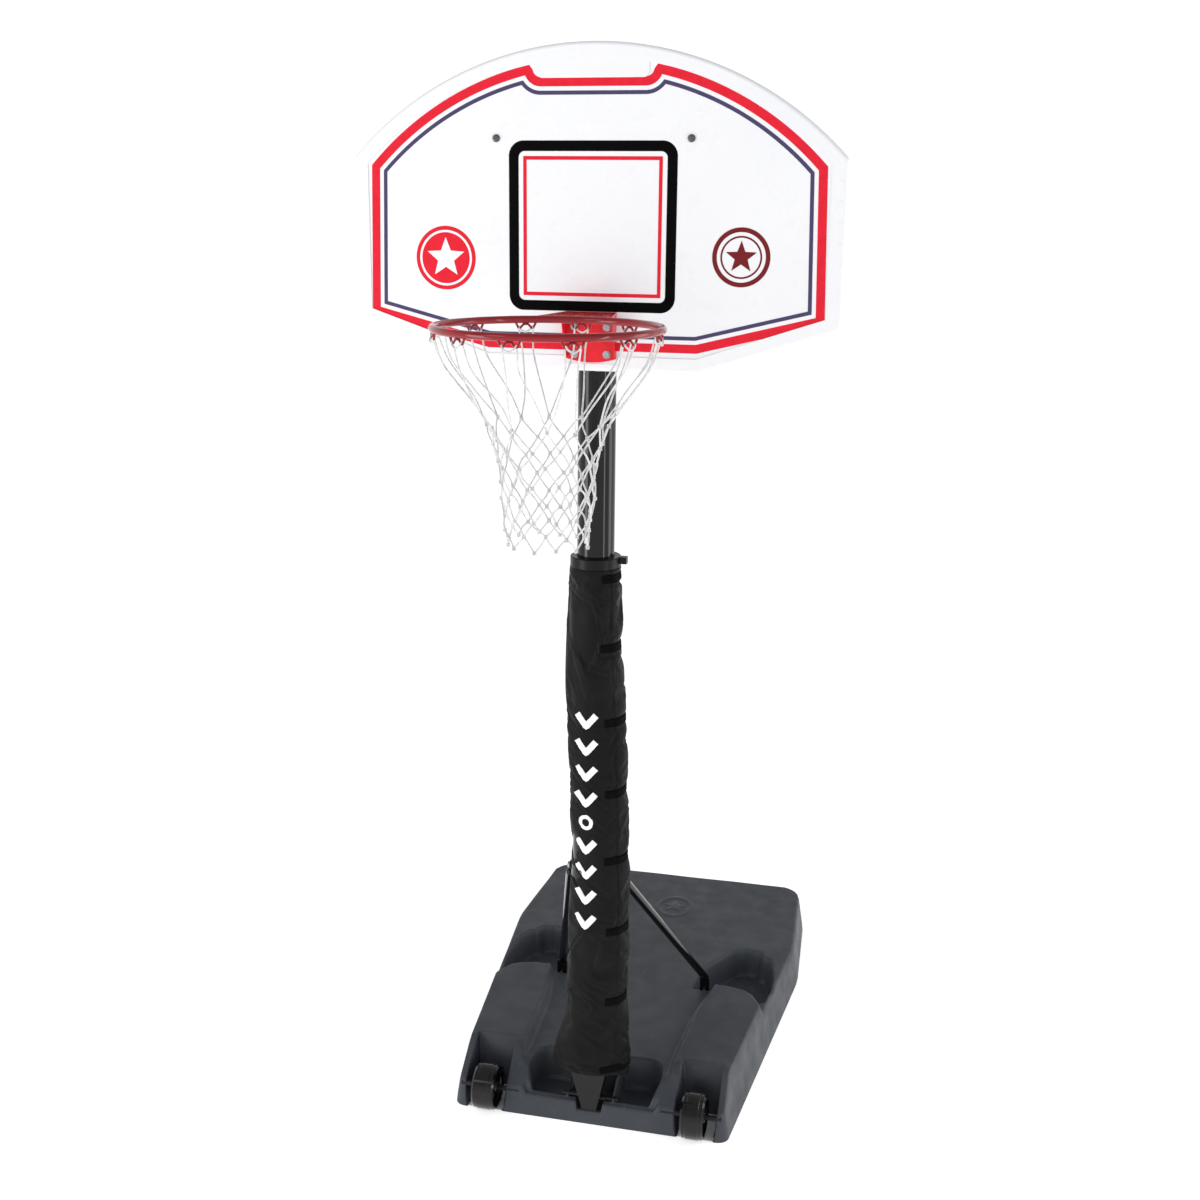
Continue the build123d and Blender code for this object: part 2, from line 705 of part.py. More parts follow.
def saddle_end(index):
    """Outer face of what the cross bolt clamps: the arms' tabs on the upper bolt."""
    return SADDLE_OUT_HALF + (TAB if index == 1 else 0)


def saddle_bolts():
    """The two cross bolts through saddle and pole."""
    bolts = []
    for index, z in enumerate(SADDLE_BOLT_ZS):
        end = saddle_end(index)
        height = RIM_HEIGHT + z
        bolts.append(
            rod((-end, 0, height), (end + 11, 0, height), 5)
            + hexagon((-end - 6.4, 0, height), (-end, 0, height), 16)
        )
    return bolts


def saddle_nuts():
    """The nuts of the two cross bolts."""
    nuts = []
    for index, z in enumerate(SADDLE_BOLT_ZS):
        end = saddle_end(index)
        height = RIM_HEIGHT + z
        nut = hexagon((end, 0, height), (end + 8, 0, height), 16)
        nuts.append(nut - rod((end - 5, 0, height), (end + 20, 0, height), 5))
    return nuts


def board_arm():
    """The right arm, from the saddle's upper bolt to the board."""
    z0 = RIM_HEIGHT + SADDLE_BOLT_ZS[1]
    z1 = RIM_HEIGHT + ARM_BOLT_Z
    lower = (SADDLE_OUT_HALF + ARM_TUBE_R + 0.5, 0, z0 + 42)
    upper = (ARM_BOLT_X - 12, BOARD_BACK_Y + ARM_TUBE_R + 0.5, z1 - 24)
    arm = rod(lower, upper, ARM_TUBE_R) + sphere_at(lower, ARM_TUBE_R) + sphere_at(upper, ARM_TUBE_R)
    arm += flat_tab(SADDLE_OUT_HALF, SADDLE_OUT_HALF + TAB, 0, z0, 0, z0 + 48, 26)
    tab = Pos(ARM_BOLT_X - 6, ARM_BOLT_Z - 12) * Rot(0, 0, 64) * SlotCenterToCenter(32, 30)
    arm += front_plane(BOARD_BACK_Y + TAB) * extrude(tab, amount=TAB)
    arm -= rod((40, 0, z0), (80, 0, z0), 5)
    return arm - rod((ARM_BOLT_X, -90, z1), (ARM_BOLT_X, 0, z1), 4.3)


def arm_bolts():
    """The two domed bolts through the board into the arms."""
    z = RIM_HEIGHT + ARM_BOLT_Z
    bolts = []
    for x in (-ARM_BOLT_X, ARM_BOLT_X):
        head = rod((x, BOARD_FACE_Y, z), (x, BOARD_FACE_Y - 5, z), 8.5)
        head = fillet(head.edges().sort_by(Axis.Y)[0], 3.5)
        bolts.append(head + rod((x, BOARD_FACE_Y, z), (x, BOARD_BACK_Y + TAB + 10, z), 4))
    return bolts


def back_nuts(points, y, across_flats, thick):
    """Nuts at the back of bolts that run along Y."""
    return [
        hexagon((x, y, z), (x, y + thick, z), across_flats) - rod((x, y - 5, z), (x, y + 20, z), 4)
        for x, z in points
    ]


# ---------------------------------------------------------------- rim


def rim_hoop():
    """The ring of round bar."""
    return Pos(0, RIM_Y, RIM_HEIGHT) * Torus(RIM_RADIUS, RIM_BAR_R)


def rim_bolt_points():
    """The four rim bolts, as x and height."""
    return [(x, RIM_HEIGHT + z) for x in (-RIM_BOLT_X, RIM_BOLT_X) for z in RIM_BOLT_ZS]


def rim_bracket():
    """The pressed bracket: back plate, top plate and side flanges."""
    y0 = BOARD_FACE_Y - BRACKET_PLATE
    top = RIM_BAR_R
    sag = 9.0
    sides = Polyline(
        (BRACKET_HALF, -BRACKET_DROP + sag), (BRACKET_HALF, top), (-BRACKET_HALF, top),
        (-BRACKET_HALF, -BRACKET_DROP + sag),
    )
    belly = ThreePointArc(
        (-BRACKET_HALF, -BRACKET_DROP + sag), (0, -BRACKET_DROP), (BRACKET_HALF, -BRACKET_DROP + sag)
    )
    bracket = slab(make_face(sides + belly), y0, BOARD_FACE_Y)
    z1 = RIM_HEIGHT + top
    reach = RIM_Y + RIM_RADIUS
    deck = plan([(-BRACKET_HALF, y0 + 1), (BRACKET_HALF, y0 + 1), (82, reach - 14), (-82, reach - 14)])
    bracket += prism(deck, z1 - BRACKET_PLATE, z1)
    flange = make_face(
        Polyline((y0 + 1, top - 1), (y0 - 46, top - 1), (y0 - 6, -92), (y0 + 1, -92), close=True)
    )
    for side in (-1, 1):
        x = min(side * BRACKET_HALF, side * (BRACKET_HALF - 3))
        bracket += Plane.YZ * Pos(0, RIM_HEIGHT, x) * extrude(flange, amount=3)
    inner = rod((0, RIM_Y, RIM_HEIGHT - 50), (0, RIM_Y, RIM_HEIGHT + 50), RIM_RADIUS)
    bracket -= inner
    bracket -= Pos(0, RIM_Y, RIM_HEIGHT) * Torus(RIM_RADIUS, RIM_BAR_R)
    for x, z in rim_bolt_points():
        bracket -= rod((x, -90, z), (x, -30, z), 4.3)
    return bracket.solids().sort_by(SortBy.VOLUME)[-1]


def rim_washers():
    """The washers under the rim bolts' heads."""
    y = BOARD_FACE_Y - BRACKET_PLATE
    return [
        rod((x, y, z), (x, y - 1.6, z), 9) - rod((x, y + 1, z), (x, y - 3, z), 4)
        for x, z in rim_bolt_points()
    ]


def rim_bolts():
    """The four hexagon bolts that hold rim and board to the saddle."""
    y = BOARD_FACE_Y - BRACKET_PLATE - 1.6
    bolts = []
    for x, z in rim_bolt_points():
        head = hexagon((x, y, z), (x, y - 5.3, z), 13)
        bolts.append(head + rod((x, y, z), (x, BOARD_BACK_Y + SADDLE_PLATE + 8.5, z), 4))
    return bolts


def net_hooks():
    """The bent wire hooks under the ring, two horns each."""
    wire = FilletPolyline(
        (-23, -5), (-15, -21), (-5, -10), (5, -10), (15, -21), (23, -5), radius=3.2
    )
    upright = Plane(origin=(RIM_RADIUS, 0, 0), x_dir=(0, 1, 0), z_dir=(1, 0, 0))
    path = upright * wire
    start = Plane(origin=path @ 0, z_dir=path % 0)
    hook = sweep(start * Circle(HOOK_WIRE_R), path=path)
    bar = Torus(RIM_RADIUS, RIM_BAR_R)
    hook = (hook - bar).solids().sort_by(SortBy.VOLUME)[-1]
    place = Pos(0, RIM_Y, RIM_HEIGHT)
    return [place * Rot(0, 0, HOOK_TURN + index * 360 / HOOK_COUNT) * hook for index in range(HOOK_COUNT)]


def net():
    """The net as a thin closed funnel, open at top and bottom."""
    outer = [(r, RIM_HEIGHT + z) for r, z in NET_PROFILE]
    inner = [(r - NET_WALL, z) for r, z in reversed(outer)]
    face = make_face(Polyline(*[(r, 0, z) for r, z in outer + inner], close=True))
    return Pos(0, RIM_Y, 0) * revolve(face, Axis.Z)


def build():
    """Make and write every node."""
    save("base_tank", base_tank())
    save("tank_cap", tank_cap())
    save("tank_cap_seal", tank_cap_seal())
    save("wheel_left", wheel(-1))
    save("wheel_right", wheel(1))
    save("axle_pins", *axle_pins())
    save("foot_pin", foot_pin())
    save("pole_foot", pole_foot())
    save("lower_pole", lower_pole())
    save("pole_collar", pole_collar())
    save("collar_bush", collar_bush())
    save("clamp_shoe", clamp_shoe())
    save("clamp_screw", clamp_screw())
    save("clamp_knob", clamp_knob())
    save("stop_bolt", stop_bolt())
    save("stop_bolt_nut", stop_bolt_nut())
    right_strut = strut()
    save("strut_right", right_strut)
    save("strut_left", mirror(right_strut, Plane.YZ))
    save("strut_band", strut_band())
    save("strut_top_bolts", *strut_top_bolts())
    save("strut_foot_bolts", *strut_foot_bolts())
    pad = pole_pad()
    save("pole_pad", pad)
    save("pad_straps", *pad_straps(pad))
    save("upper_pole", upper_pole())
    save("guide_bush", guide_bush())
    save("travel_stop_ring", travel_stop_ring())
    save("pole_cap", pole_cap())
    save("saddle_bracket", saddle_bracket())
    save("saddle_bolts", *saddle_bolts())
    save("saddle_nuts", *saddle_nuts())
    save("backboard", backboard())
    right_arm = board_arm()
    save("board_arm_right", right_arm)
    save("board_arm_left", mirror(right_arm, Plane.YZ))
    save("arm_bolts", *arm_bolts())
    arm_points = [(x, RIM_HEIGHT + ARM_BOLT_Z) for x in (-ARM_BOLT_X, ARM_BOLT_X)]
    save("arm_nuts", *back_nuts(arm_points, BOARD_BACK_Y + TAB, 13, 6.5))
    save("rim_hoop", rim_hoop())
    save("rim_bracket", rim_bracket())
    save("rim_washers", *rim_washers())
    save("rim_bolts", *rim_bolts())
    save("rim_nuts", *back_nuts(rim_bolt_points(), BOARD_BACK_Y + SADDLE_PLATE, 13, 6.5))
    save("net_hooks", *net_hooks())
    save("net", net())


build()
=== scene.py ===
import json
import math

import bmesh
import bpy
import numpy as np
from mathutils import Matrix, Vector


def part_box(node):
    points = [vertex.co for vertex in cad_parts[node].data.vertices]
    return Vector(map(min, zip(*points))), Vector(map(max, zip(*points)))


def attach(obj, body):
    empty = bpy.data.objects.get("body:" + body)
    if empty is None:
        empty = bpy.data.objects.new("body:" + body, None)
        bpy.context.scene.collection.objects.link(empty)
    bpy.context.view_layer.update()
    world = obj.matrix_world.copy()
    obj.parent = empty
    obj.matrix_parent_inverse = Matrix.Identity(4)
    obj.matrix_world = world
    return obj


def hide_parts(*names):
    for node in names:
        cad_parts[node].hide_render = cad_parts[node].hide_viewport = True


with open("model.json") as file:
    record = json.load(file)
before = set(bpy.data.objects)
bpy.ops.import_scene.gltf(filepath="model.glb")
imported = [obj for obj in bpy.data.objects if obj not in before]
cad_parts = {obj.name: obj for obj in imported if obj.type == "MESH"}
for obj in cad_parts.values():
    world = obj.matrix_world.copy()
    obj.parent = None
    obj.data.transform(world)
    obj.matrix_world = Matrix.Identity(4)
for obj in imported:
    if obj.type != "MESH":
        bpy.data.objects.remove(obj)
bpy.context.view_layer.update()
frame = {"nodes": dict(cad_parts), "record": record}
nodes = frame["nodes"]
MM = 0.001

# ---------------------------------------------------------------- places read from the frame

hoop_low, hoop_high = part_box("rim_hoop")
RIM = (hoop_low + hoop_high) / 2
BOARD_FACE_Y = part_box("backboard")[0].y + 2.5 * MM
random = np.random.default_rng(12)


# ---------------------------------------------------------------- camera, light and floor


def add_camera():
    """The camera where the photographer stood, a little right of the board's middle."""
    data = bpy.data.cameras.new("camera")
    data.sensor_width = 36.0
    data.lens = 44.766
    camera = bpy.data.objects.new("camera", data)
    yaw, pitch, roll = math.radians(13.14), math.radians(14.878), math.radians(0.553)
    forward = Vector((-math.sin(yaw) * math.cos(pitch), math.cos(yaw) * math.cos(pitch), -math.sin(pitch)))
    level = Vector((math.cos(yaw), math.sin(yaw), 0))
    upright = level.cross(forward)
    right = level * math.cos(roll) + upright * math.sin(roll)
    up = upright * math.cos(roll) - level * math.sin(roll)
    turn = Matrix((right, up, -forward)).transposed()
    camera.matrix_world = Matrix.Translation((0.8024, -3.3881, 2.346)) @ turn.to_4x4()
    bpy.context.scene.collection.objects.link(camera)
    bpy.context.scene.camera = camera


def add_light(name, place, target, size, power):
    """A soft lamp of a given width and height that looks at a point."""
    data = bpy.data.lights.new(name, "AREA")
    data.shape = "RECTANGLE"
    data.size, data.size_y = size
    data.energy = power
    lamp = bpy.data.objects.new(name, data)
    lamp.location = place
    lamp.rotation_euler = (Vector(target) - Vector(place)).to_track_quat("-Z", "Y").to_euler()
    bpy.context.scene.collection.objects.link(lamp)


def floor_material(name, glow):
    """Pale matt floor paint, with a share of its own light."""
    material = bpy.data.materials.new(name)
    material.use_nodes = True
    shader = material.node_tree.nodes["Principled BSDF"]
    shader.inputs["Base Color"].default_value = (0.9, 0.9, 0.9, 1)
    shader.inputs["Roughness"].default_value = 0.9
    shader.inputs["Specular IOR Level"].default_value = 0.1
    shader.inputs["Emission Color"].default_value = (1, 1, 1, 1)
    shader.inputs["Emission Strength"].default_value = glow
    return material


def add_floor():
    """A wide pale floor that glows a little, as a lit studio sweep does, with a painted shadow under the
    tank: the patch beneath it does not glow.
    """
    far = 60.0
    outer = [(-far, -far, 0), (far, -far, 0), (far, far, 0), (-far, far, 0)]
    inner = [(-0.345, -0.03, 0), (0.345, -0.03, 0), (0.345, 1.25, 0), (-0.345, 1.25, 0)]
    faces = [(i, (i + 1) % 4, (i + 1) % 4 + 4, i + 4) for i in range(4)] + [(4, 5, 6, 7)]
    mesh = bpy.data.meshes.new("floor")
    mesh.from_pydata(outer + inner, [], faces)
    mesh.materials.append(floor_material("floor_lit", 0.55))
    # Painted shadow: the patch under the tank gets no glow, so the floor reads dark beneath it.
    mesh.materials.append(floor_material("floor_painted_shade_under_tank", 0.0))
    mesh.polygons[4].material_index = 1
    floor = bpy.data.objects.new("floor", mesh)
    bpy.context.scene.collection.objects.link(floor)


def add_world():
    """A studio that is white at eye level and dimmer overhead."""
    world = bpy.data.worlds.new("studio")
    world.use_nodes = True
    tree = world.node_tree
    place = tree.nodes.new("ShaderNodeTexCoord")
    split = tree.nodes.new("ShaderNodeSeparateXYZ")
    fade = tree.nodes.new("ShaderNodeMapRange")
    for name, value in (("From Min", 0.24), ("From Max", 0.55), ("To Min", 1.06), ("To Max", 0.5)):
        fade.inputs[name].default_value = value
    tree.links.new(place.outputs["Generated"], split.inputs["Vector"])
    tree.links.new(split.outputs["Z"], fade.inputs["Value"])
    tree.links.new(fade.outputs["Result"], tree.nodes["Background"].inputs["Strength"])
    tree.nodes["Background"].inputs["Color"].default_value = (1, 1, 1, 1)
    bpy.context.scene.world = world


def add_studio():
    """Floor, world and soft lamps: one from the upper left and tall softboxes at both sides."""
    add_floor()
    add_world()
    add_light("key", (-2.6, -3.8, 4.2), (0, 0, 1.3), (1.6, 1.6), 20)
    add_light("box_left", (-2.35, -2.05, 1.3), (0, 0, 1.3), (1.0, 2.4), 38)
    add_light("strip_right", (2.75, -1.4, 1.4), (0, 0, 1.4), (0.3, 2.6), 15)
    add_light("box_right", (3.1, 0.9, 1.5), (0, 0, 1.2), (1.2, 2.6), 26)
    bpy.context.scene.view_settings.view_transform = "Standard"


# ---------------------------------------------------------------- materials


class Shader:
    """A Principled material that is filled in step by step."""

    def __init__(self, name, color, roughness, metallic=0.0, coat=0.0, sheen=0.0, shine=0.5):
        self.material = bpy.data.materials.new(name)
        self.material.use_nodes = True
        self.tree = self.material.node_tree
        self.bsdf = self.tree.nodes["Principled BSDF"]
        self.color = (*color, 1)
        self.roughness = roughness
        self.bsdf.inputs["Base Color"].default_value = self.color
        self.bsdf.inputs["Roughness"].default_value = roughness
        self.bsdf.inputs["Metallic"].default_value = metallic
        self.bsdf.inputs["Coat Weight"].default_value = coat
        self.bsdf.inputs["Coat Roughness"].default_value = 0.08
        self.bsdf.inputs["Sheen Weight"].default_value = sheen
        self.bsdf.inputs["Specular IOR Level"].default_value = shine
        self.place = self.tree.nodes.new("ShaderNodeTexCoord").outputs["Object"]
        self.bumps = None

    def node(self, kind, **values):
        made = self.tree.nodes.new(kind)
        for name, value in values.items():
            if name in made.inputs:
                made.inputs[name].default_value = value
            else:
                setattr(made, name, value)
        return made

    def stretched(self, scale):
        """Object coordinates stretched along each axis."""
        mapping = self.node("ShaderNodeMapping")
        mapping.inputs["Scale"].default_value = scale
        self.tree.links.new(self.place, mapping.inputs["Vector"])
        return mapping.outputs["Vector"]

    def noise(self, scale, detail=3.0, stretch=None):
        """Fractal noise over the object, from 0 to 1."""
        made = self.node("ShaderNodeTexNoise", Scale=scale, Detail=detail)
        source = self.stretched(stretch) if stretch else self.place
        self.tree.links.new(source, made.inputs["Vector"])
        return made.outputs["Fac"]

    def voronoi(self, scale, feature="F1", stretch=None):
        """Cell distance over the object."""
        made = self.node("ShaderNodeTexVoronoi", feature=feature)
        made.inputs["Scale"].default_value = scale
        source = self.stretched(stretch) if stretch else self.place
        self.tree.links.new(source, made.inputs["Vector"])
        return made.outputs["Distance"]

    def wave(self, scale, stretch, distortion=0.0):
        """Parallel bands over the object."""
        made = self.node("ShaderNodeTexWave", Scale=scale, Distortion=distortion)
        self.tree.links.new(self.stretched(stretch), made.inputs["Vector"])
        return made.outputs["Fac"]

    def ranged(self, factor, low, high, start=0.3, end=0.7):
        """A factor mapped to a new range."""
        made = self.node("ShaderNodeMapRange")
        for name, value in (("From Min", start), ("From Max", end), ("To Min", low), ("To Max", high)):
            made.inputs[name].default_value = value
        self.tree.links.new(factor, made.inputs["Value"])
        return made.outputs["Result"]

    def vary_color(self, factor, other, start=0.35, end=0.7):
        """Mixes the base colour towards another one by a factor."""
        mix = self.node("ShaderNodeMix", data_type="RGBA")
        previous = self.bsdf.inputs["Base Color"]
        if previous.links:
            self.tree.links.new(previous.links[0].from_socket, mix.inputs[6])
        else:
            mix.inputs[6].default_value = self.color
        mix.inputs[7].default_value = (*other, 1)
        self.tree.links.new(self.ranged(factor, 0, 1, start, end), mix.inputs["Factor"])
        self.tree.links.new(mix.outputs[2], previous)
        return self

    def vary_roughness(self, factor, low, high):
        """Lets the roughness follow a factor."""
        self.tree.links.new(self.ranged(factor, low, high), self.bsdf.inputs["Roughness"])
        return self

    def bump(self, factor, strength, distance):
        """Adds one layer of relief, with its height in metres."""
        made = self.node("ShaderNodeBump", Strength=strength, Distance=distance)
        self.tree.links.new(factor, made.inputs["Height"])
        if self.bumps is not None:
            self.tree.links.new(self.bumps, made.inputs["Normal"])
        self.bumps = made.outputs["Normal"]
        self.tree.links.new(self.bumps, self.bsdf.inputs["Normal"])
        return self


def tank_material():
    """Satin slate-grey polyethylene with a fine moulded grain and scuffs."""
    made = Shader("tank_plastic", (0.036, 0.041, 0.050), 0.5, shine=0.26)
    made.vary_color(made.noise(5.0, 4), (0.044, 0.050, 0.060))
    made.vary_color(made.noise(60.0, 6, (1, 0.25, 1)), (0.060, 0.066, 0.075), 0.62, 0.8)
    made.vary_roughness(made.noise(16.0, 4), 0.42, 0.6)
    made.bump(made.noise(420.0, 2), 0.25, 0.0006)
    return made.bump(made.noise(9.0, 3), 0.2, 0.004).material


def plastic_material(name, color, roughness):
    """Black moulded plastic with a fine grain."""
    made = Shader(name, color, roughness, shine=0.16)
    made.vary_color(made.noise(30.0, 3), tuple(c * 1.5 for c in color))
    made.vary_roughness(made.noise(40.0, 4), roughness * 0.8, roughness * 1.25)
    return made.bump(made.noise(900.0, 2), 0.2, 0.0003).material


def paint_material(name, color, roughness=0.16, speck=1.35, coat=0.3, shine=0.3):
    """Gloss powder coat with a slight orange peel."""
    made = Shader(name, color, roughness, coat=coat, shine=shine)
    made.vary_color(made.noise(14.0, 4), tuple(c * speck for c in color))
    made.vary_roughness(made.noise(50.0, 3), roughness * 0.75, roughness * 1.4)
    return made.bump(made.noise(200.0, 2), 0.08, 0.0003).material


def zinc_material(name, color, roughness):
    """Plated steel with fine turning marks."""
    made = Shader(name, color, roughness, metallic=1.0)
    made.vary_color(made.noise(120.0, 4), tuple(c * 0.7 for c in color))
    made.vary_roughness(made.noise(300.0, 3), roughness * 0.7, roughness * 1.4)
    return made.bump(made.noise(700.0, 2), 0.2, 0.0002).material


def board_material():
    """White moulded board with faint flow marks."""
    made = Shader("board_white", (0.775, 0.78, 0.80), 0.28, coat=0.15, shine=0.3)
    made.vary_color(made.noise(4.0, 4), (0.76, 0.765, 0.79))
    made.vary_roughness(made.noise(12.0, 4), 0.24, 0.36)
    return made.bump(made.noise(180.0, 2), 0.08, 0.0004).material


def print_material(name, color):
    """Screen-printed ink on the board."""
    made = Shader(name, color, 0.36, shine=0.04)
    made.vary_color(made.noise(70.0, 4), tuple(c * 0.9 for c in color))
    made.vary_roughness(made.noise(40.0, 3), 0.26, 0.42)
    return made.bump(made.noise(400.0, 2), 0.1, 0.0002).material


def vinyl_material():
    """Matt black coated fabric with a leathery grain and dusty creases."""
    made = Shader("pad_vinyl", (0.0055, 0.0051, 0.0051), 0.46, sheen=0.005, shine=0.08)
    made.vary_color(made.noise(7.0, 5), (0.0085, 0.0078, 0.0078))
    made.vary_roughness(made.noise(22.0, 4), 0.42, 0.62)
    made.bump(made.voronoi(900.0), 0.3, 0.0004)
    return made.bump(made.noise(45.0, 4, (1, 1, 0.5)), 0.35, 0.003).material


def webbing_material():
    """Black hook-and-loop tape with a fuzzy face."""
    made = Shader("strap_webbing", (0.0015, 0.0015, 0.0016), 0.85, shine=0.05)
    made.vary_color(made.noise(500.0, 2), (0.004, 0.004, 0.0042))
    made.bump(made.wave(260.0, (0.4, 0.4, 1)), 0.4, 0.0006)
    return made.bump(made.noise(1500.0, 2), 0.5, 0.0005).material


def cord_material():
    """White braided nylon."""
    made = Shader("net_cord", (0.84, 0.84, 0.83), 0.62, sheen=0.15)
    made.vary_color(made.noise(90.0, 4), (0.62, 0.62, 0.62))
    made.bump(made.wave(230.0, (1, 1, 0.8), 2.0), 0.8, 0.0008)
    return made.bump(made.voronoi(1500.0), 0.4, 0.0004).material


def rubber_material():
    """Matt black seal rubber."""
    made = Shader("seal_rubber", (0.02, 0.02, 0.02), 0.8)
    made.vary_color(made.noise(60.0, 3), (0.035, 0.035, 0.035))
    return made.bump(made.noise(800.0, 2), 0.3, 0.0003).material


materials = {
    "tank_plastic": tank_material(),
    "black_plastic": plastic_material("black_plastic", (0.004, 0.004, 0.0043), 0.32),
    "wheel_plastic": paint_material("wheel_plastic", (0.004, 0.004, 0.0046), 0.15, coat=0.4, shine=0.12),
    "seal_rubber": rubber_material(),
    "zinc_steel": zinc_material("zinc_steel", (0.46, 0.47, 0.50), 0.24),
    "dark_steel": zinc_material("dark_steel", (0.13, 0.13, 0.14), 0.3),
    # Near-black steel for the zinc axle and foot pins: painted shade, standing in for the shade in the wheel
    # gaps.
    "painted_shade_steel": zinc_material("painted_shade_steel", (0.035, 0.035, 0.038), 0.45),
    "pole_paint": paint_material("pole_paint", (0.002, 0.002, 0.0026), 0.12, coat=0.45, shine=0.08),
    "pad_vinyl": vinyl_material(),
    "strap_webbing": webbing_material(),
    "board_white": board_material(),
    "rim_red": paint_material("rim_red", (0.19, 0.006, 0.010), 0.13, coat=0.4, shine=0.15),
    "bracket_red": paint_material("bracket_red", (0.56, 0.010, 0.02), 0.22, coat=0.15, shine=0.2),
    "net_cord": cord_material(),
    "ink_red": print_material("ink_red", (0.70, 0.020, 0.038)),
    "ink_violet": print_material("ink_violet", (0.07, 0.058, 0.13)),
    "ink_black": print_material("ink_black", (0.001, 0.001, 0.001)),
    "ink_brown": print_material("ink_brown", (0.17, 0.018, 0.022)),
    "ink_white": print_material("ink_white", (0.85, 0.85, 0.85)),
}


def paint_cad_nodes():
    """Gives every CAD node the material of its slot, with smooth round faces, except the axle and foot pins,
    which get a near-black steel as painted shade.
    """
    for row in frame["record"]["subparts"]:
        mesh = nodes[row["node"]].data
        # The axle and foot pins get the near-black steel as painted shade instead of their zinc slot.
        painted_shade_pin = row["node"] in ("axle_pins", "foot_pin")
        mesh.materials.clear()
        mesh.materials.append(materials["painted_shade_steel" if painted_shade_pin else row["material_slot"]])
        mesh.shade_smooth()
        smooth = nodes[row["node"]].modifiers.new("edges", "EDGE_SPLIT")
        smooth.split_angle = math.radians(32)


# ---------------------------------------------------------------- mesh helpers


def add_piece(name, verts, faces, material, body, smooth=True, stands_for=()):
    """Makes a mesh, gives it a material and lets it ride on a CAD body."""
    mesh = bpy.data.meshes.new(name)
    mesh.from_pydata([tuple(v) for v in verts], [], [tuple(f) for f in faces])
    work = bmesh.new()
    work.from_mesh(mesh)
    bmesh.ops.recalc_face_normals(work, faces=work.faces)
    work.to_mesh(mesh)
    work.free()
    piece = bpy.data.objects.new(name, mesh)
    bpy.context.scene.collection.objects.link(piece)
    mesh.materials.append(materials[material])
    if smooth:
        mesh.shade_smooth()
    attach(piece, body)
    if stands_for:
        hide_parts(*stands_for)
    return piece


def grid_faces(rows, columns, start=0, wrap=False):
    """Quads of a grid of vertices, row after row."""
    faces = []
    last = columns if wrap else columns - 1
    for row in range(rows - 1):
        for column in range(last):
            after = (column + 1) % columns
            a = start + row * columns
            faces.append((a + column, a + after, a + columns + after, a + columns + column))
    return faces


def smooth_line(points, steps):
    """A Catmull-Rom line through points, as an array."""
    points = np.array(points, float)
    padded = np.vstack([2 * points[0] - points[1], points, 2 * points[-1] - points[-2]])
    line = []
    for p0, p1, p2, p3 in zip(padded, padded[1:], padded[2:], padded[3:]):
        for t in np.linspace(0, 1, steps, endpoint=False):
            line.append(
                0.5 * (2 * p1 + (p2 - p0) * t + (2 * p0 - 5 * p1 + 4 * p2 - p3) * t * t
                       + (3 * p1 - p0 - 3 * p2 + p3) * t**3)
            )
    line.append(points[-1])
    return np.array(line)


def tube_geometry(line, radius, sides, start, squash=1.0):
    """Vertices and faces of a round tube along a line, with flat end caps."""
    tangents = np.gradient(line, axis=0)
    tangents /= np.linalg.norm(tangents, axis=1)[:, None] + 1e-12
    normal = np.cross(tangents[0], (0.31, 0.72, 0.62))
    normal /= np.linalg.norm(normal)
    radii = np.full(len(line), float(radius)) if np.isscalar(radius) else np.array(radius, float)
    angles = np.arange(sides) * 2 * math.pi / sides
    verts = []
    for point, tangent, r in zip(line, tangents, radii):
        normal = normal - tangent * (normal @ tangent)
        normal /= np.linalg.norm(normal)
        other = np.cross(tangent, normal)
        ring = point + r * (np.cos(angles)[:, None] * normal + squash * np.sin(angles)[:, None] * other)
        verts.extend(ring)
    faces = grid_faces(len(line), sides, start, wrap=True)
    faces.append(tuple(range(start + sides - 1, start - 1, -1)))
    end = start + (len(line) - 1) * sides
    faces.append(tuple(range(end, end + sides)))
    return verts, faces


def offset_outline(points, amount):
    """A closed outline moved inwards by an amount, with mitred corners. The outline turns clockwise."""
    points = np.array(points, float)
    before = points - np.roll(points, 1, axis=0)
    after = np.roll(points, -1, axis=0) - points
    before /= np.linalg.norm(before, axis=1)[:, None]
    after /= np.linalg.norm(after, axis=1)[:, None]
    normal_a = np.stack([before[:, 1], -before[:, 0]], 1)
    normal_b = np.stack([after[:, 1], -after[:, 0]], 1)
    middle = normal_a + normal_b
    scale = 2 / (middle**2).sum(1)
    return points + middle * (amount * scale)[:, None]


def arc(centre, radius, start, end, count):
    """Points of an arc, with its angles in degrees."""
    angles = np.radians(np.linspace(start, end, count))
    return [(centre[0] + radius * math.cos(a), centre[1] + radius * math.sin(a)) for a in angles]


def signed_distance(x, y, points):
    """Distance to a closed outline, negative inside it."""
    points = np.array(points, float)
    nearest = np.full(x.shape, 1e9)
    inside = np.zeros(x.shape, bool)
    for (ax, ay), (bx, by) in zip(points, np.roll(points, -1, axis=0)):
        ex, ey = bx - ax, by - ay
        t = np.clip(((x - ax) * ex + (y - ay) * ey) / (ex * ex + ey * ey), 0, 1)
        nearest = np.minimum(nearest, np.hypot(x - ax - t * ex, y - ay - t * ey))
        crosses = (ay > y) != (by > y)
        level = ey if abs(ey) > 1e-9 else 1e-9
        inside ^= crosses & (x < ax + (y - ay) * ex / level)
    return np.where(inside, -nearest, nearest)


def step(value):
    """A smooth step from 0 to 1."""
    t = np.clip(value, 0, 1)
    return t * t * (3 - 2 * t)


def smooth_least(a, b, width):
    """The lower of two heights, with a rounded meeting."""
    h = np.clip(0.5 + 0.5 * (b - a) / width, 0, 1)
    return b + (a - b) * h - width * h * (1 - h)


# ---------------------------------------------------------------- base tank


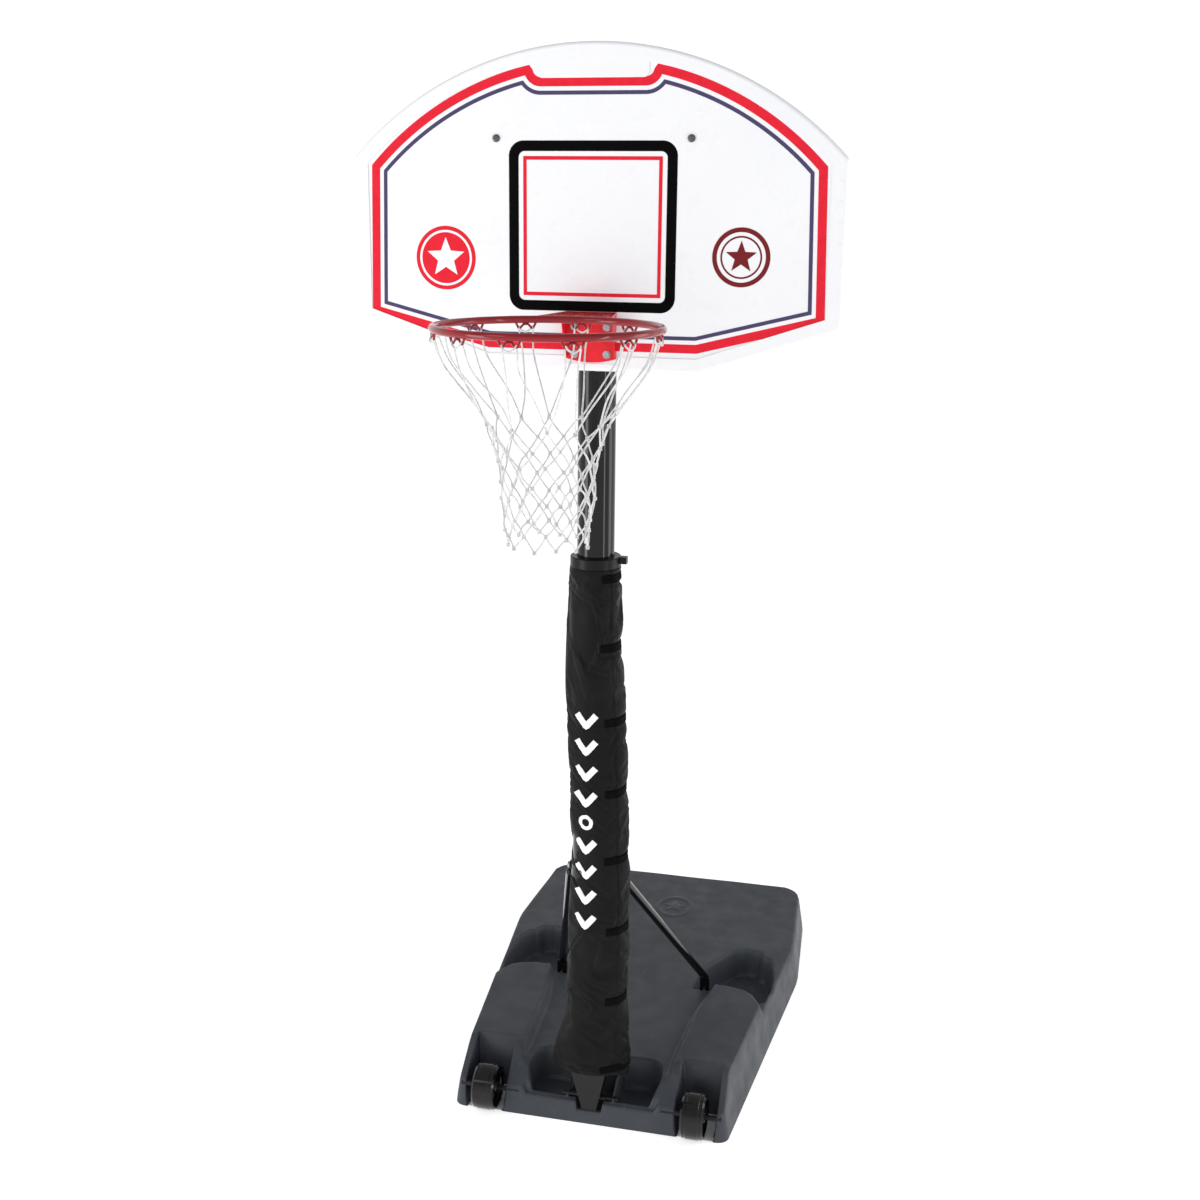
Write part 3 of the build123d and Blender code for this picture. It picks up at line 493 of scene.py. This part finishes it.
def rounded_outline(corners, count=9):
    """A closed outline from (x, y, radius) corners, each rounded with an arc."""
    points = []
    for index, (x, y, radius) in enumerate(corners):
        corner = np.array([x, y], float)
        before = np.array(corners[index - 1][:2], float) - corner
        after = np.array(corners[(index + 1) % len(corners)][:2], float) - corner
        before /= np.linalg.norm(before)
        after /= np.linalg.norm(after)
        half = math.acos(np.clip(before @ after, -1, 1)) / 2
        reach = radius / math.tan(half)
        middle = before + after
        centre = corner + middle / np.linalg.norm(middle) * radius / math.sin(half)
        start, end = corner + before * reach - centre, corner + after * reach - centre
        for t in np.linspace(0, 1, count):
            arm = start * (1 - t) + end * t
            points.append(centre + arm / np.linalg.norm(arm) * radius)
    return np.array(points)


def both_sides(right):
    """An outline's right half followed by its mirror image."""
    return list(right) + [(-x, *rest) for x, *rest in reversed(right)]


TANK_FOOT = rounded_outline(both_sides([(368, -34, 30), (459, 848, 500), (435, 1282, 90)]), 15)
CREST = [(-60, 518), (245, 518), (297, 514), (341, 502), (371, 479), (394, 438), (415, 391), (520, 340),
         (520, 1400), (-60, 1400)]
PIT = rounded_outline(
    [(184, 520, 5), (190, 625, 30), (226, 698, 60), (270, 775, 30), (306, 792, 16), (346, 785, 14),
     (358, 753, 10), (376, 752, 14), (392, 708, 50), (402, 641, 60), (402, 560, 60), (388, 468, 12),
     (370, 489, 20), (337, 508, 30), (287, 520, 30)], 6)
POCKET = rounded_outline([(62, -8, 6), (160, -8, 8), (178, 41, 24), (168, 118, 46), (62, 112, 8)], 7)
MARK = (34, 1022)


def star_points(centre, outer, inner, count=5):
    """The corners of a star, point up."""
    points = []
    for index in range(count * 2):
        radius = outer if index % 2 == 0 else inner
        angle = math.pi / 2 - index * math.pi / count
        points.append((centre[0] + radius * math.cos(angle), centre[1] + radius * math.sin(angle)))
    return points


def tank_height(x, y):
    """Height of the tank's skin above the floor, in millimetres."""
    side = np.abs(x)
    z = np.full(x.shape, 150.0)
    valley = np.interp(y, [-90, 119, 335, 541], [198, 200, 211, 245])
    z = 120 + 30 * step((side - valley + 9) / 22)
    crest = signed_distance(side, y, CREST)
    z = 120 + (z - 120) * step((crest + 2) / 15)
    z = smooth_least(z, 60 + (y + 34) * 0.84, 14)
    lip = np.maximum(side - 180, y + 7)
    z = z + (57 - z) * step((3 - lip) / 12) * (z > 57)
    pocket = signed_distance(side, y, POCKET)
    z = 28 + (z - 28) * step((pocket + 9) / 15)
    slot = np.maximum(side - 56, np.maximum(y - 78, -7 - y))
    z = 14 + (z - 14) * step((slot + 3) / 8)
    notch = np.maximum(side - 36, y - 20)
    z = np.minimum(z, 34 + 200 * step((notch + 2) / 9))
    pit = signed_distance(side, y, PIT)
    z = 36 + (z - 36) * step((pit + 12) / 19)
    emblem = np.hypot(x - MARK[0], (y - MARK[1]) * 0.8)
    z = z + 2.2 * step((emblem - 44) / 3) * step((60 - emblem) / 3)
    star = signed_distance(x, y, star_points(MARK, 36, 16))
    z = z + 2.2 * step((3 - star) / 4)
    z = z + 0.9 * np.sin(x / 97 + 1.3) * np.sin(y / 131) + 0.5 * np.sin(x / 41) * np.sin(y / 57 + 2)
    return z


def tank_well(x, y):
    """Distance to the wells that the wheels stand in, negative inside them."""
    return np.maximum(np.maximum(233 - np.abs(x), np.abs(x) - 335), y - 91)


def spaced(start, end, fine, coarse):
    """Places from start to end, close together at the start."""
    places = [start]
    gap = fine
    while places[-1] + gap < end:
        places.append(places[-1] + gap)
        gap = min(gap * 1.3, coarse)
    places[-1] = end
    return np.array(places)


def build_tank():
    """The tank's moulded skin as a dense sheet of heights, cut open at the wheel wells."""
    front = spaced(-34, 560, 1.2, 3.6)
    back = 1282 - spaced(0, 1282 - 560, 1.2, 4.2)[::-1]
    rows = np.concatenate([front, back[1:]])
    inner = np.arange(-330, 331, 3.3)
    outer = 1 - spaced(0, 1, 0.012, 0.045)[::-1]
    columns = []
    polygon = np.vstack([TANK_FOOT, TANK_FOOT[:1]])
    for y in rows:
        crossings = [338.0]
        for (ax, ay), (bx, by) in zip(polygon, polygon[1:]):
            if ax > 0 and min(ay, by) - 0.01 <= y <= max(ay, by) + 0.01 and abs(by - ay) > 1e-6:
                crossings.append(ax + (bx - ax) * (y - ay) / (by - ay))
        edge = max(crossings) - 330
        side = 330 + outer[1:] * edge
        columns.append(np.concatenate([-side[::-1], inner, side]))
    x = np.array(columns)
    y = np.repeat(rows[:, None], x.shape[1], axis=1)
    inward = np.maximum(-signed_distance(x, y, TANK_FOOT), 0)
    wall = inward / math.tan(math.radians(9)) + 6 * step(inward / 3)
    z = smooth_least(tank_height(x, y), wall, 20)
    z = np.where(inward < 0.3, 0, z)
    well = tank_well(x, y)
    z = z * step((well + 2) / 7)
    z = np.maximum(z, 0)
    verts = np.stack([x, y, z], -1).reshape(-1, 3) * MM
    count = x.shape[1]
    flat = z.reshape(-1)
    faces = [f for f in grid_faces(len(rows), count) if max(flat[v] for v in f) > 0.4]
    return add_piece("tank_shell", verts, faces, "tank_plastic", "base", stands_for=["base_tank"])


def lathe(name, profile, centre, material, body, sides=64):
    """A turned piece about an upright axis, from (radius, height) pairs."""
    angles = np.arange(sides) * 2 * math.pi / sides
    x, y = centre
    verts = [(x + r * math.cos(a), y + r * math.sin(a), z) for r, z in profile for a in angles]
    faces = grid_faces(len(profile), sides, wrap=True)
    return add_piece(name, np.array(verts) * MM, faces, material, body)


def build_filler_neck():
    """The short threaded neck under the cap, seen when the cap is lifted."""
    profile = [(26, 118.5), (22.4, 121)]
    for turn in range(4):
        z = 122 + turn * 2.4
        profile += [(21.2, z), (22, z + 0.8), (22, z + 1.3), (21.2, z + 2.1)]
    profile += [(21.2, 131.6), (20.8, 132), (18.4, 132), (18, 131.6), (18, 112)]
    return lathe("filler_neck", profile, (-185, 906), "tank_plastic", "base")


# ---------------------------------------------------------------- pole pad

PAD_SECTIONS = np.array([
    (171, -2, 109, 80), (215, 3, 99, 77), (283, 8, 87, 72), (419, 15, 78, 66), (682, 18, 76, 64),
    (926, 14, 71, 63), (1166, 3, 75, 63), (1295, -2, 67, 62), (1508, 0, 64, 61),
], float)
STRAP_HEIGHTS = (188, 376, 572, 764, 941, 1126, 1314, 1485)
SEAM = math.radians(-38)
PAD_TURNS = 128
PAD_LEVELS = np.linspace(175, 1504, 286)
pad_shift = np.zeros((len(PAD_LEVELS), PAD_TURNS, 3))


def turn_from(angle, middle):
    """Angle measured from a middle direction, between -pi and pi."""
    return (angle - middle + math.pi) % (2 * math.pi) - math.pi


def soft_interp(z, column):
    """A pad dimension at a height, smoothed over its sections."""
    total = 0
    for shift, weight in ((-70, 0.2), (-35, 0.2), (0, 0.2), (35, 0.2), (70, 0.2)):
        total = total + weight * np.interp(z + shift, PAD_SECTIONS[:, 0], PAD_SECTIONS[:, column])
    return total


def crease(angle, z, where, height, slope, width, reach, depth):
    """One shallow fold that runs across the pad from a start point."""
    across = (z - height) - slope * (angle - where) * 80
    along = (angle - where) * 80
    fade = np.exp(-((along / reach) ** 2))
    return -depth * np.exp(-((across / width) ** 2)) * fade


FOLDS = []
for _ in range(46):
    FOLDS.append((
        random.uniform(-2.6, 0.2),
        random.choice([random.uniform(185, 430), random.uniform(430, 1480)], p=[0.55, 0.45]),
        random.uniform(-1.1, -0.2), random.uniform(4, 9), random.uniform(22, 60), random.uniform(0.7, 2.0),
    ))


def pad_form(angle, z):
    """A point on the pad as it is sewn, in millimetres. Angle 0 is +X and -90 degrees faces the player."""
    centre, half, depth = (soft_interp(z, column) for column in (1, 2, 3))
    grow = np.zeros(np.broadcast(angle, z).shape)
    side = np.exp(-((turn_from(angle, math.radians(-14)) / 0.75) ** 2))
    for height in STRAP_HEIGHTS:
        grow = grow - 7.5 * side * np.exp(-(((z - height) / 24) ** 2))
    grow = grow + 3.0 * side
    for fold in FOLDS:
        grow = grow + crease(turn_from(angle, -math.pi / 2) - math.pi / 2, z, *fold)
    grow = grow + 1.1 * np.sin(z / 83 + 2 * angle) * np.sin(3 * angle + 0.6)
    grow = grow + 0.7 * np.sin(z / 37 + 1.7) * np.sin(5 * angle + z / 160)
    lap = turn_from(angle, SEAM)
    grow = grow + 2.6 * step((lap + 0.05) / 0.03) * step((0.9 - lap) / 0.9)
    grow = grow - 1.6 * np.exp(-(((z - 1490) / 3.5) ** 2)) - 1.6 * np.exp(-(((z - 192) / 3.5) ** 2))
    x = centre + (half + grow) * np.cos(angle)
    y = (depth + grow) * np.sin(angle)
    return np.stack(np.broadcast_arrays(x, y, z), -1)


def pad_surface(angle, z):
    """A point on the pad's cover after the fabric has settled."""
    angle, z = np.broadcast_arrays(angle, z)
    level = np.clip(np.interp(z, PAD_LEVELS, np.arange(len(PAD_LEVELS))), 0, len(PAD_LEVELS) - 1.001)
    turn = (angle / (2 * math.pi)) % 1 * PAD_TURNS
    row, column = level.astype(int), turn.astype(int) % PAD_TURNS
    up, round_by = (level - row)[..., None], (turn - np.floor(turn))[..., None]
    after = (column + 1) % PAD_TURNS
    low = pad_shift[row, column] * (1 - round_by) + pad_shift[row, after] * round_by
    high = pad_shift[row + 1, column] * (1 - round_by) + pad_shift[row + 1, after] * round_by
    return pad_form(angle, z) + low * (1 - up) + high * up


def hold_weights(angles, levels):
    """How firmly each point of the fabric is held: fully at the hems and under the straps."""
    hold = np.full(angles.shape, 0.012)
    for height in STRAP_HEIGHTS:
        under = (np.abs(levels - height) < 14) & (np.abs(turn_from(angles, math.radians(-19))) < 0.85)
        hold[under] = 1.0
    hold[np.abs(turn_from(angles, SEAM)) < 0.03] = 0.4
    printed = (np.abs(turn_from(angles, -math.pi / 2)) < 0.55) & (levels > 570) & (levels < 1190)
    hold[printed] = 0.3
    hold[:2] = hold[-2:] = 1.0
    return hold


def settle_fabric():
    """Lets the cover swell and crease between its straps, as cloth under pressure does."""
    angles, levels = np.meshgrid(np.arange(PAD_TURNS) * 2 * math.pi / PAD_TURNS, PAD_LEVELS)
    sewn = pad_form(angles, levels)
    start = sewn - 2.0 * np.stack([np.cos(angles), np.sin(angles), 0 * angles], -1)
    count = start[..., 0].size
    faces = grid_faces(len(PAD_LEVELS), PAD_TURNS, wrap=True)
    faces += [tuple(range(PAD_TURNS))[::-1], tuple(range(count - PAD_TURNS, count))]
    mesh = bpy.data.meshes.new("fabric")
    mesh.from_pydata((start.reshape(-1, 3) * MM).tolist(), [], faces)
    fabric = bpy.data.objects.new("fabric", mesh)
    bpy.context.scene.collection.objects.link(fabric)
    held = fabric.vertex_groups.new(name="held")
    for index, weight in enumerate(hold_weights(angles, levels).reshape(-1)):
        held.add([index], float(weight), "REPLACE")
    cloth = fabric.modifiers.new("cloth", "CLOTH")
    settings = cloth.settings
    settings.vertex_group_mass = "held"
    settings.quality = 5
    settings.shrink_min = settings.shrink_max = -0.035
    settings.bending_stiffness = 0.12
    settings.use_pressure = True
    settings.uniform_pressure_force = 2.2
    settings.effector_weights.gravity = 0
    cloth.point_cache.frame_end = 20
    for moment in range(1, 17):
        bpy.context.scene.frame_set(moment)
    settled = fabric.evaluated_get(bpy.context.evaluated_depsgraph_get())
    places = np.empty(count * 3)
    settled.data.vertices.foreach_get("co", places)
    moved = places.reshape(start.shape) / MM - sewn
    far = np.linalg.norm(moved, axis=-1, keepdims=True)
    pad_shift[:] = moved * np.minimum(1, 9 / np.maximum(far, 1e-6))
    bpy.data.objects.remove(fabric)
    bpy.context.scene.frame_set(1)


def build_pad():
    """The foam sleeve's cover: outer skin with rolled hems that turn in towards the pole at both ends."""
    settle_fabric()
    angles = np.arange(240) * 2 * math.pi / 240
    heights = np.linspace(175, 1504, 330)
    rings = []
    for z in heights:
        drop = np.interp(z, [175, 300], [1, 0]) * (3 + 20 * np.exp(-((turn_from(angles, -0.15) / 0.45) ** 2)))
        ring = pad_surface(angles, np.full(240, z))
        ring[:, 2] -= drop
        rings.append(ring)
    rings = [shrunk_ring(rings[0], f, -dz) for f, dz in ((0.76, 0), (0.9, 3.2), (0.97, 2.4))] + rings
    rings += [shrunk_ring(rings[-1], f, dz) for f, dz in ((0.985, 2.6), (0.95, 4), (0.88, 4), (0.835, 2))]
    verts = np.concatenate(rings) * MM
    faces = grid_faces(len(rings), 240, wrap=True)
    pad = add_piece("pad_cover", verts, faces, "pad_vinyl", "base", stands_for=["pole_pad"])
    return pad


def shrunk_ring(ring, factor, rise):
    """A ring of points drawn towards the pole and moved up."""
    moved = ring.copy()
    moved[:, :2] *= factor
    moved[:, 2] += rise
    return moved


def closed_sheet(name, front, back, material, body, stands_for=()):
    """A thin closed piece between two grids of the same size."""
    rows, columns = front.shape[:2]
    verts = np.concatenate([front.reshape(-1, 3), back.reshape(-1, 3)]) * MM
    half = rows * columns
    faces = grid_faces(rows, columns) + [tuple(v + half for v in f) for f in grid_faces(rows, columns)]
    edge = [c for c in range(columns)]
    edge += [r * columns + columns - 1 for r in range(1, rows)]
    edge += [(rows - 1) * columns + c for c in range(columns - 2, -1, -1)]
    edge += [r * columns for r in range(rows - 2, 0, -1)]
    for a, b in zip(edge, edge[1:] + edge[:1]):
        faces.append((a, b, b + half, a + half))
    return add_piece(name, verts, faces, material, body, stands_for=stands_for)


def build_straps():
    """The hook-and-loop straps that hold the pad's edges together."""
    straps = []
    for index, height in enumerate(STRAP_HEIGHTS):
        start = math.radians(-65 + random.uniform(-5, 4))
        angles = np.linspace(start, math.radians(24), 26)
        tilt = random.uniform(-0.05, 0.05)
        rows = np.linspace(-10, 10, 9)
        a, v = np.meshgrid(angles, rows)
        z = height + v + tilt * (a - start) * 60
        surface = pad_surface(a, z)
        direction = np.stack([np.cos(a), np.sin(a), 0 * a], -1)
        soft = 0.5 * np.sin(a * 9 + index) * np.cos(v / 7)
        front = surface + direction * (3.4 + soft - 1.2 * (np.abs(v) > 8))[..., None]
        back = surface + direction * 0.6
        straps.append(closed_sheet(f"strap_{index + 1}", front, back, "strap_webbing", "base"))
    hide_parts("pad_straps")
    return straps


def pad_front(x, z):
    """A point on the front of the pad at a place seen from the player."""
    centre, half = soft_interp(z, 1), soft_interp(z, 2)
    angle = -np.arccos(np.clip((x - centre) / half, -0.98, 0.98))
    point = pad_surface(angle, z)
    direction = np.stack([np.cos(angle), np.sin(angle), 0 * angle], -1)
    return point, direction


def pad_mark(name, line, half_width, closed=False):
    """One white mark on the pad, as a band along a line of (x, height) points."""
    line = np.array(line, float)
    if closed:
        line = np.vstack([line, line[:1]])
    steps = []
    for a, b in zip(line, line[1:]):
        steps += [a + (b - a) * t for t in np.linspace(0, 1, 16, endpoint=False)]
    steps = np.array(steps + [line[-1]])
    along = np.gradient(steps, axis=0)
    if closed:
        along[0] = along[-1] = steps[1] - steps[-2]
    along /= np.linalg.norm(along, axis=1)[:, None]
    across = np.stack([-along[:, 1], along[:, 0]], -1)
    grid = steps[:, None, :] + across[:, None, :] * (np.linspace(-1, 1, 11) * half_width)[None, :, None]
    point, direction = pad_front(grid[..., 0], grid[..., 1])
    front, back = point + direction * 1.2, point + direction * 0.1
    return closed_sheet(name, front, back, "ink_white", "base")


def build_pad_marks():
    """Plain white chevrons down the front of the pad, four above a ring and four below it."""
    middle = -6
    tops = [1160 - index * 68 for index in range(4)] + [830 - index * 68 for index in range(4)]
    for index, top in enumerate(tops):
        line = [(middle - 25, top - 12), (middle, top - 42), (middle + 25, top - 12)]
        pad_mark(f"pad_chevron_{index + 1}", line, 8)
    ring = [(middle + 15 * math.cos(a), 866 + 15 * math.sin(a)) for a in np.linspace(0, 2 * math.pi, 13)[:-1]]
    pad_mark("pad_ring", ring, 4.5, closed=True)


# ---------------------------------------------------------------- net

RIM_PLACE = np.array([0, -438, 0.0])
NET_ROWS = (
    (-196, 128, 15), (-236, 113, 0), (-275, 104, 15), (-312, 98, 0),
    (-348, 94, 15), (-383, 91, 0), (-416, 89, 15), (-446, 87, 0),
)
HOOKS = [math.radians(-3 + index * 30) for index in range(12)]


def net_point(radius, angle, drop, jitter=0.0):
    """A point of the net, by radius, angle about the ring's centre and drop below the ring."""
    point = np.array([radius * math.cos(angle), radius * math.sin(angle), RIM.z / MM + drop]) + RIM_PLACE
    return point + random.normal(0, jitter, 3) if jitter else point


def sagging(start, end, bend, steps=14):
    """A cord between two points with a slight random bow."""
    offset = random.normal(0, 1, 3) * bend
    third, two_thirds = start * 2 / 3 + end / 3 + offset, start / 3 + end * 2 / 3 + offset * 0.8
    return smooth_line([start, third, two_thirds, end], steps)


def build_net():
    """The knotted net: legs looped over the hooks, then rows of crossing cords."""
    verts, faces = [], []

    def lay(line, radius=1.9, sides=8):
        added, quads = tube_geometry(np.array(line), radius, sides, len(verts))
        verts.extend(added)
        faces.extend(quads)

    knots = []
    for drop, radius, shift in NET_ROWS:
        row = []
        for hook in HOOKS:
            angle = hook + math.radians(shift) + random.normal(0, 0.02)
            spread = 5 if drop == NET_ROWS[0][0] else 2.5
            row.append(net_point(radius + random.normal(0, 2), angle, drop + random.normal(0, spread)))
        knots.append(row)
    for index, hook in enumerate(HOOKS):
        left, right = hook - math.radians(3.7), hook + math.radians(3.7)
        knot_a, knot_b = knots[0][index - 1], knots[0][index]
        bow_a, bow_b = random.normal(0, 5, 3), random.normal(0, 5, 3)
        line = [
            knot_a,
            knot_a * 0.6 + net_point(214, left, -70) * 0.4 + bow_a,
            net_point(212, left, -75) + bow_a * 0.4,
            net_point(229, left, -30),
            net_point(234, left, -15.6),
            net_point(238.5, left + 0.02, -22),
            net_point(238.5, hook, -27),
            net_point(238.5, right - 0.02, -22),
            net_point(234, right, -15.6),
            net_point(229, right, -30),
            net_point(212, right, -75) + bow_b * 0.4,
            knot_b * 0.6 + net_point(214, right, -70) * 0.4 + bow_b,
            knot_b,
        ]
        lay(smooth_line(line, 9))
    for level in range(len(knots) - 1):
        for index in range(12):
            start = knots[level][index]
            if NET_ROWS[level][2]:
                ends = (knots[level + 1][index], knots[level + 1][(index + 1) % 12])
            else:
                ends = (knots[level + 1][index], knots[level + 1][index - 1])
            for end in ends:
                lay(sagging(start, end, 1.6))
    for level, row in enumerate(knots):
        for knot in row:
            outward = knot - (RIM_PLACE + np.array([0, 0, knot[2]]))
            outward /= np.linalg.norm(outward)
            sideways = np.array([-outward[1], outward[0], 0])
            for turn in (-2.4, 1.4):
                loop = []
                for angle in np.linspace(0, 2 * math.pi, 15):
                    away = outward * math.cos(angle) * 2.7 + sideways * math.sin(angle) * 3.3
                    loop.append(knot + away + np.array([0, 0, turn + 0.9 * math.sin(angle * 2 + level)]))
                lay(loop, 1.7, 7)
    return add_piece("net_cords", np.array(verts) * MM, faces, "net_cord", "mast", stands_for=["net"])


# ---------------------------------------------------------------- print on the board


def on_board(points, forward):
    """Outline points, as x and height above the rim, on a plane in front of the board."""
    points = np.array(points, float)
    y = np.full(len(points), BOARD_FACE_Y / MM - forward)
    return np.stack([points[:, 0], y, points[:, 1] + RIM.z / MM], -1)


def board_band(name, outer, inner, material, forward=0.0):
    """A printed band between two outlines with the same number of points."""
    layers = [on_board(outer, forward + 0.08), on_board(outer, forward + 0.4)]
    layers += [on_board(inner, forward + 0.4), on_board(inner, forward + 0.08)]
    verts = np.concatenate(layers + [layers[0]]) * MM
    faces = grid_faces(5, len(outer), wrap=True)
    piece = add_piece(name, verts, faces, material, "mast", smooth=False)
    return piece


def board_patch(name, outline, material, forward=0.0):
    """A printed patch that fills an outline."""
    count = len(outline)
    verts = np.concatenate([on_board(outline, forward + 0.08), on_board(outline, forward + 0.4)]) * MM
    faces = [tuple(range(count)), tuple(range(count, 2 * count))]
    faces += [(i, (i + 1) % count, (i + 1) % count + count, i + count) for i in range(count)]
    return add_piece(name, verts, faces, material, "mast", smooth=False)


BORDER_FOOT = [(515.5, 324), (523.5, -8), (242.5, -78.3), (-242.5, -78.3), (-523.5, -8), (-515.5, 324)]


def border_outline(inset):
    """The border's outline moved inwards, clockwise, with a notch for the panel at the top."""
    centre, reach = np.array([0, -149.8]), 700.2 - inset
    turns = np.radians(np.linspace(-88, -8, 161))
    notch = np.array([118, 528]) + (18 + inset) * np.stack([np.cos(turns), np.sin(turns)], -1)
    notch = notch[np.linalg.norm(notch - centre, axis=1) < reach - 0.4]
    notch = notch[np.linspace(0, len(notch) - 1, 9).astype(int)]
    tip = circle_hit(notch[-1], np.array([0.61, 0.79]), centre, reach)
    foot = offset_outline(BORDER_FOOT, inset)
    climb = np.array(BORDER_FOOT[0], float) - BORDER_FOOT[1]
    shoulder = circle_hit(foot[1], climb / np.linalg.norm(climb), centre, reach)
    ends = [math.degrees(math.atan2(p[1] - centre[1], p[0])) for p in (tip, shoulder)]
    right = [(0, 510 - inset), *notch, *arc(centre, reach, *ends, 40), foot[1], foot[2]]
    left = [(-x, z) for x, z in reversed(right[1:])]
    return np.array(right + left)


def circle_hit(start, direction, centre, radius):
    """Where a line from inside a circle leaves it."""
    away = start - centre
    along = away @ direction
    return start + direction * (math.sqrt(along**2 - away @ away + radius**2) - along)


def square_outline(half, low, high, radius):
    """A square with rounded corners, clockwise."""
    corners = [(half, high), (half, low), (-half, low), (-half, high)]
    return rounded_outline([(x, z, radius) for x, z in corners], 9)


def circle(centre, radius, count=72):
    """A circle, clockwise."""
    angles = [-i * 2 * math.pi / count for i in range(count)]
    return [(centre[0] + radius * math.cos(a), centre[1] + radius * math.sin(a)) for a in angles]


def build_print():
    """Border, square and plain round badges printed on the board."""
    board_band("border_red", border_outline(0), border_outline(19.5), "ink_red")
    board_band("border_violet", border_outline(28.5), border_outline(37), "ink_violet")
    outer = square_outline(191, 8.5, 377.5, 33)
    board_band("square_black", outer, square_outline(168.5, 31, 355, 14), "ink_black")
    outer = square_outline(158, 41.5, 344.5, 0.6)
    board_band("square_red", outer, square_outline(150, 49.5, 336.5, 0.5), "ink_red")
    left = (-342, 121)
    board_patch("badge_left", circle(left, 71), "ink_red")
    board_band("badge_left_ring", circle(left, 62), circle(left, 57), "ink_white", 0.4)
    board_patch("badge_left_star", star_points(left, 46, 20), "ink_white", 0.4)
    right = (336, 133)
    board_band("badge_right_ring", circle(right, 64), circle(right, 54), "ink_brown")
    board_band("badge_right_inner", circle(right, 46), circle(right, 42), "ink_brown")
    board_patch("badge_right_star", star_points(right, 36, 15), "ink_brown")


# ---------------------------------------------------------------- the scene

add_camera()
add_studio()
paint_cad_nodes()
build_tank()
build_filler_neck()
build_pad()
build_straps()
build_pad_marks()
build_net()
build_print()
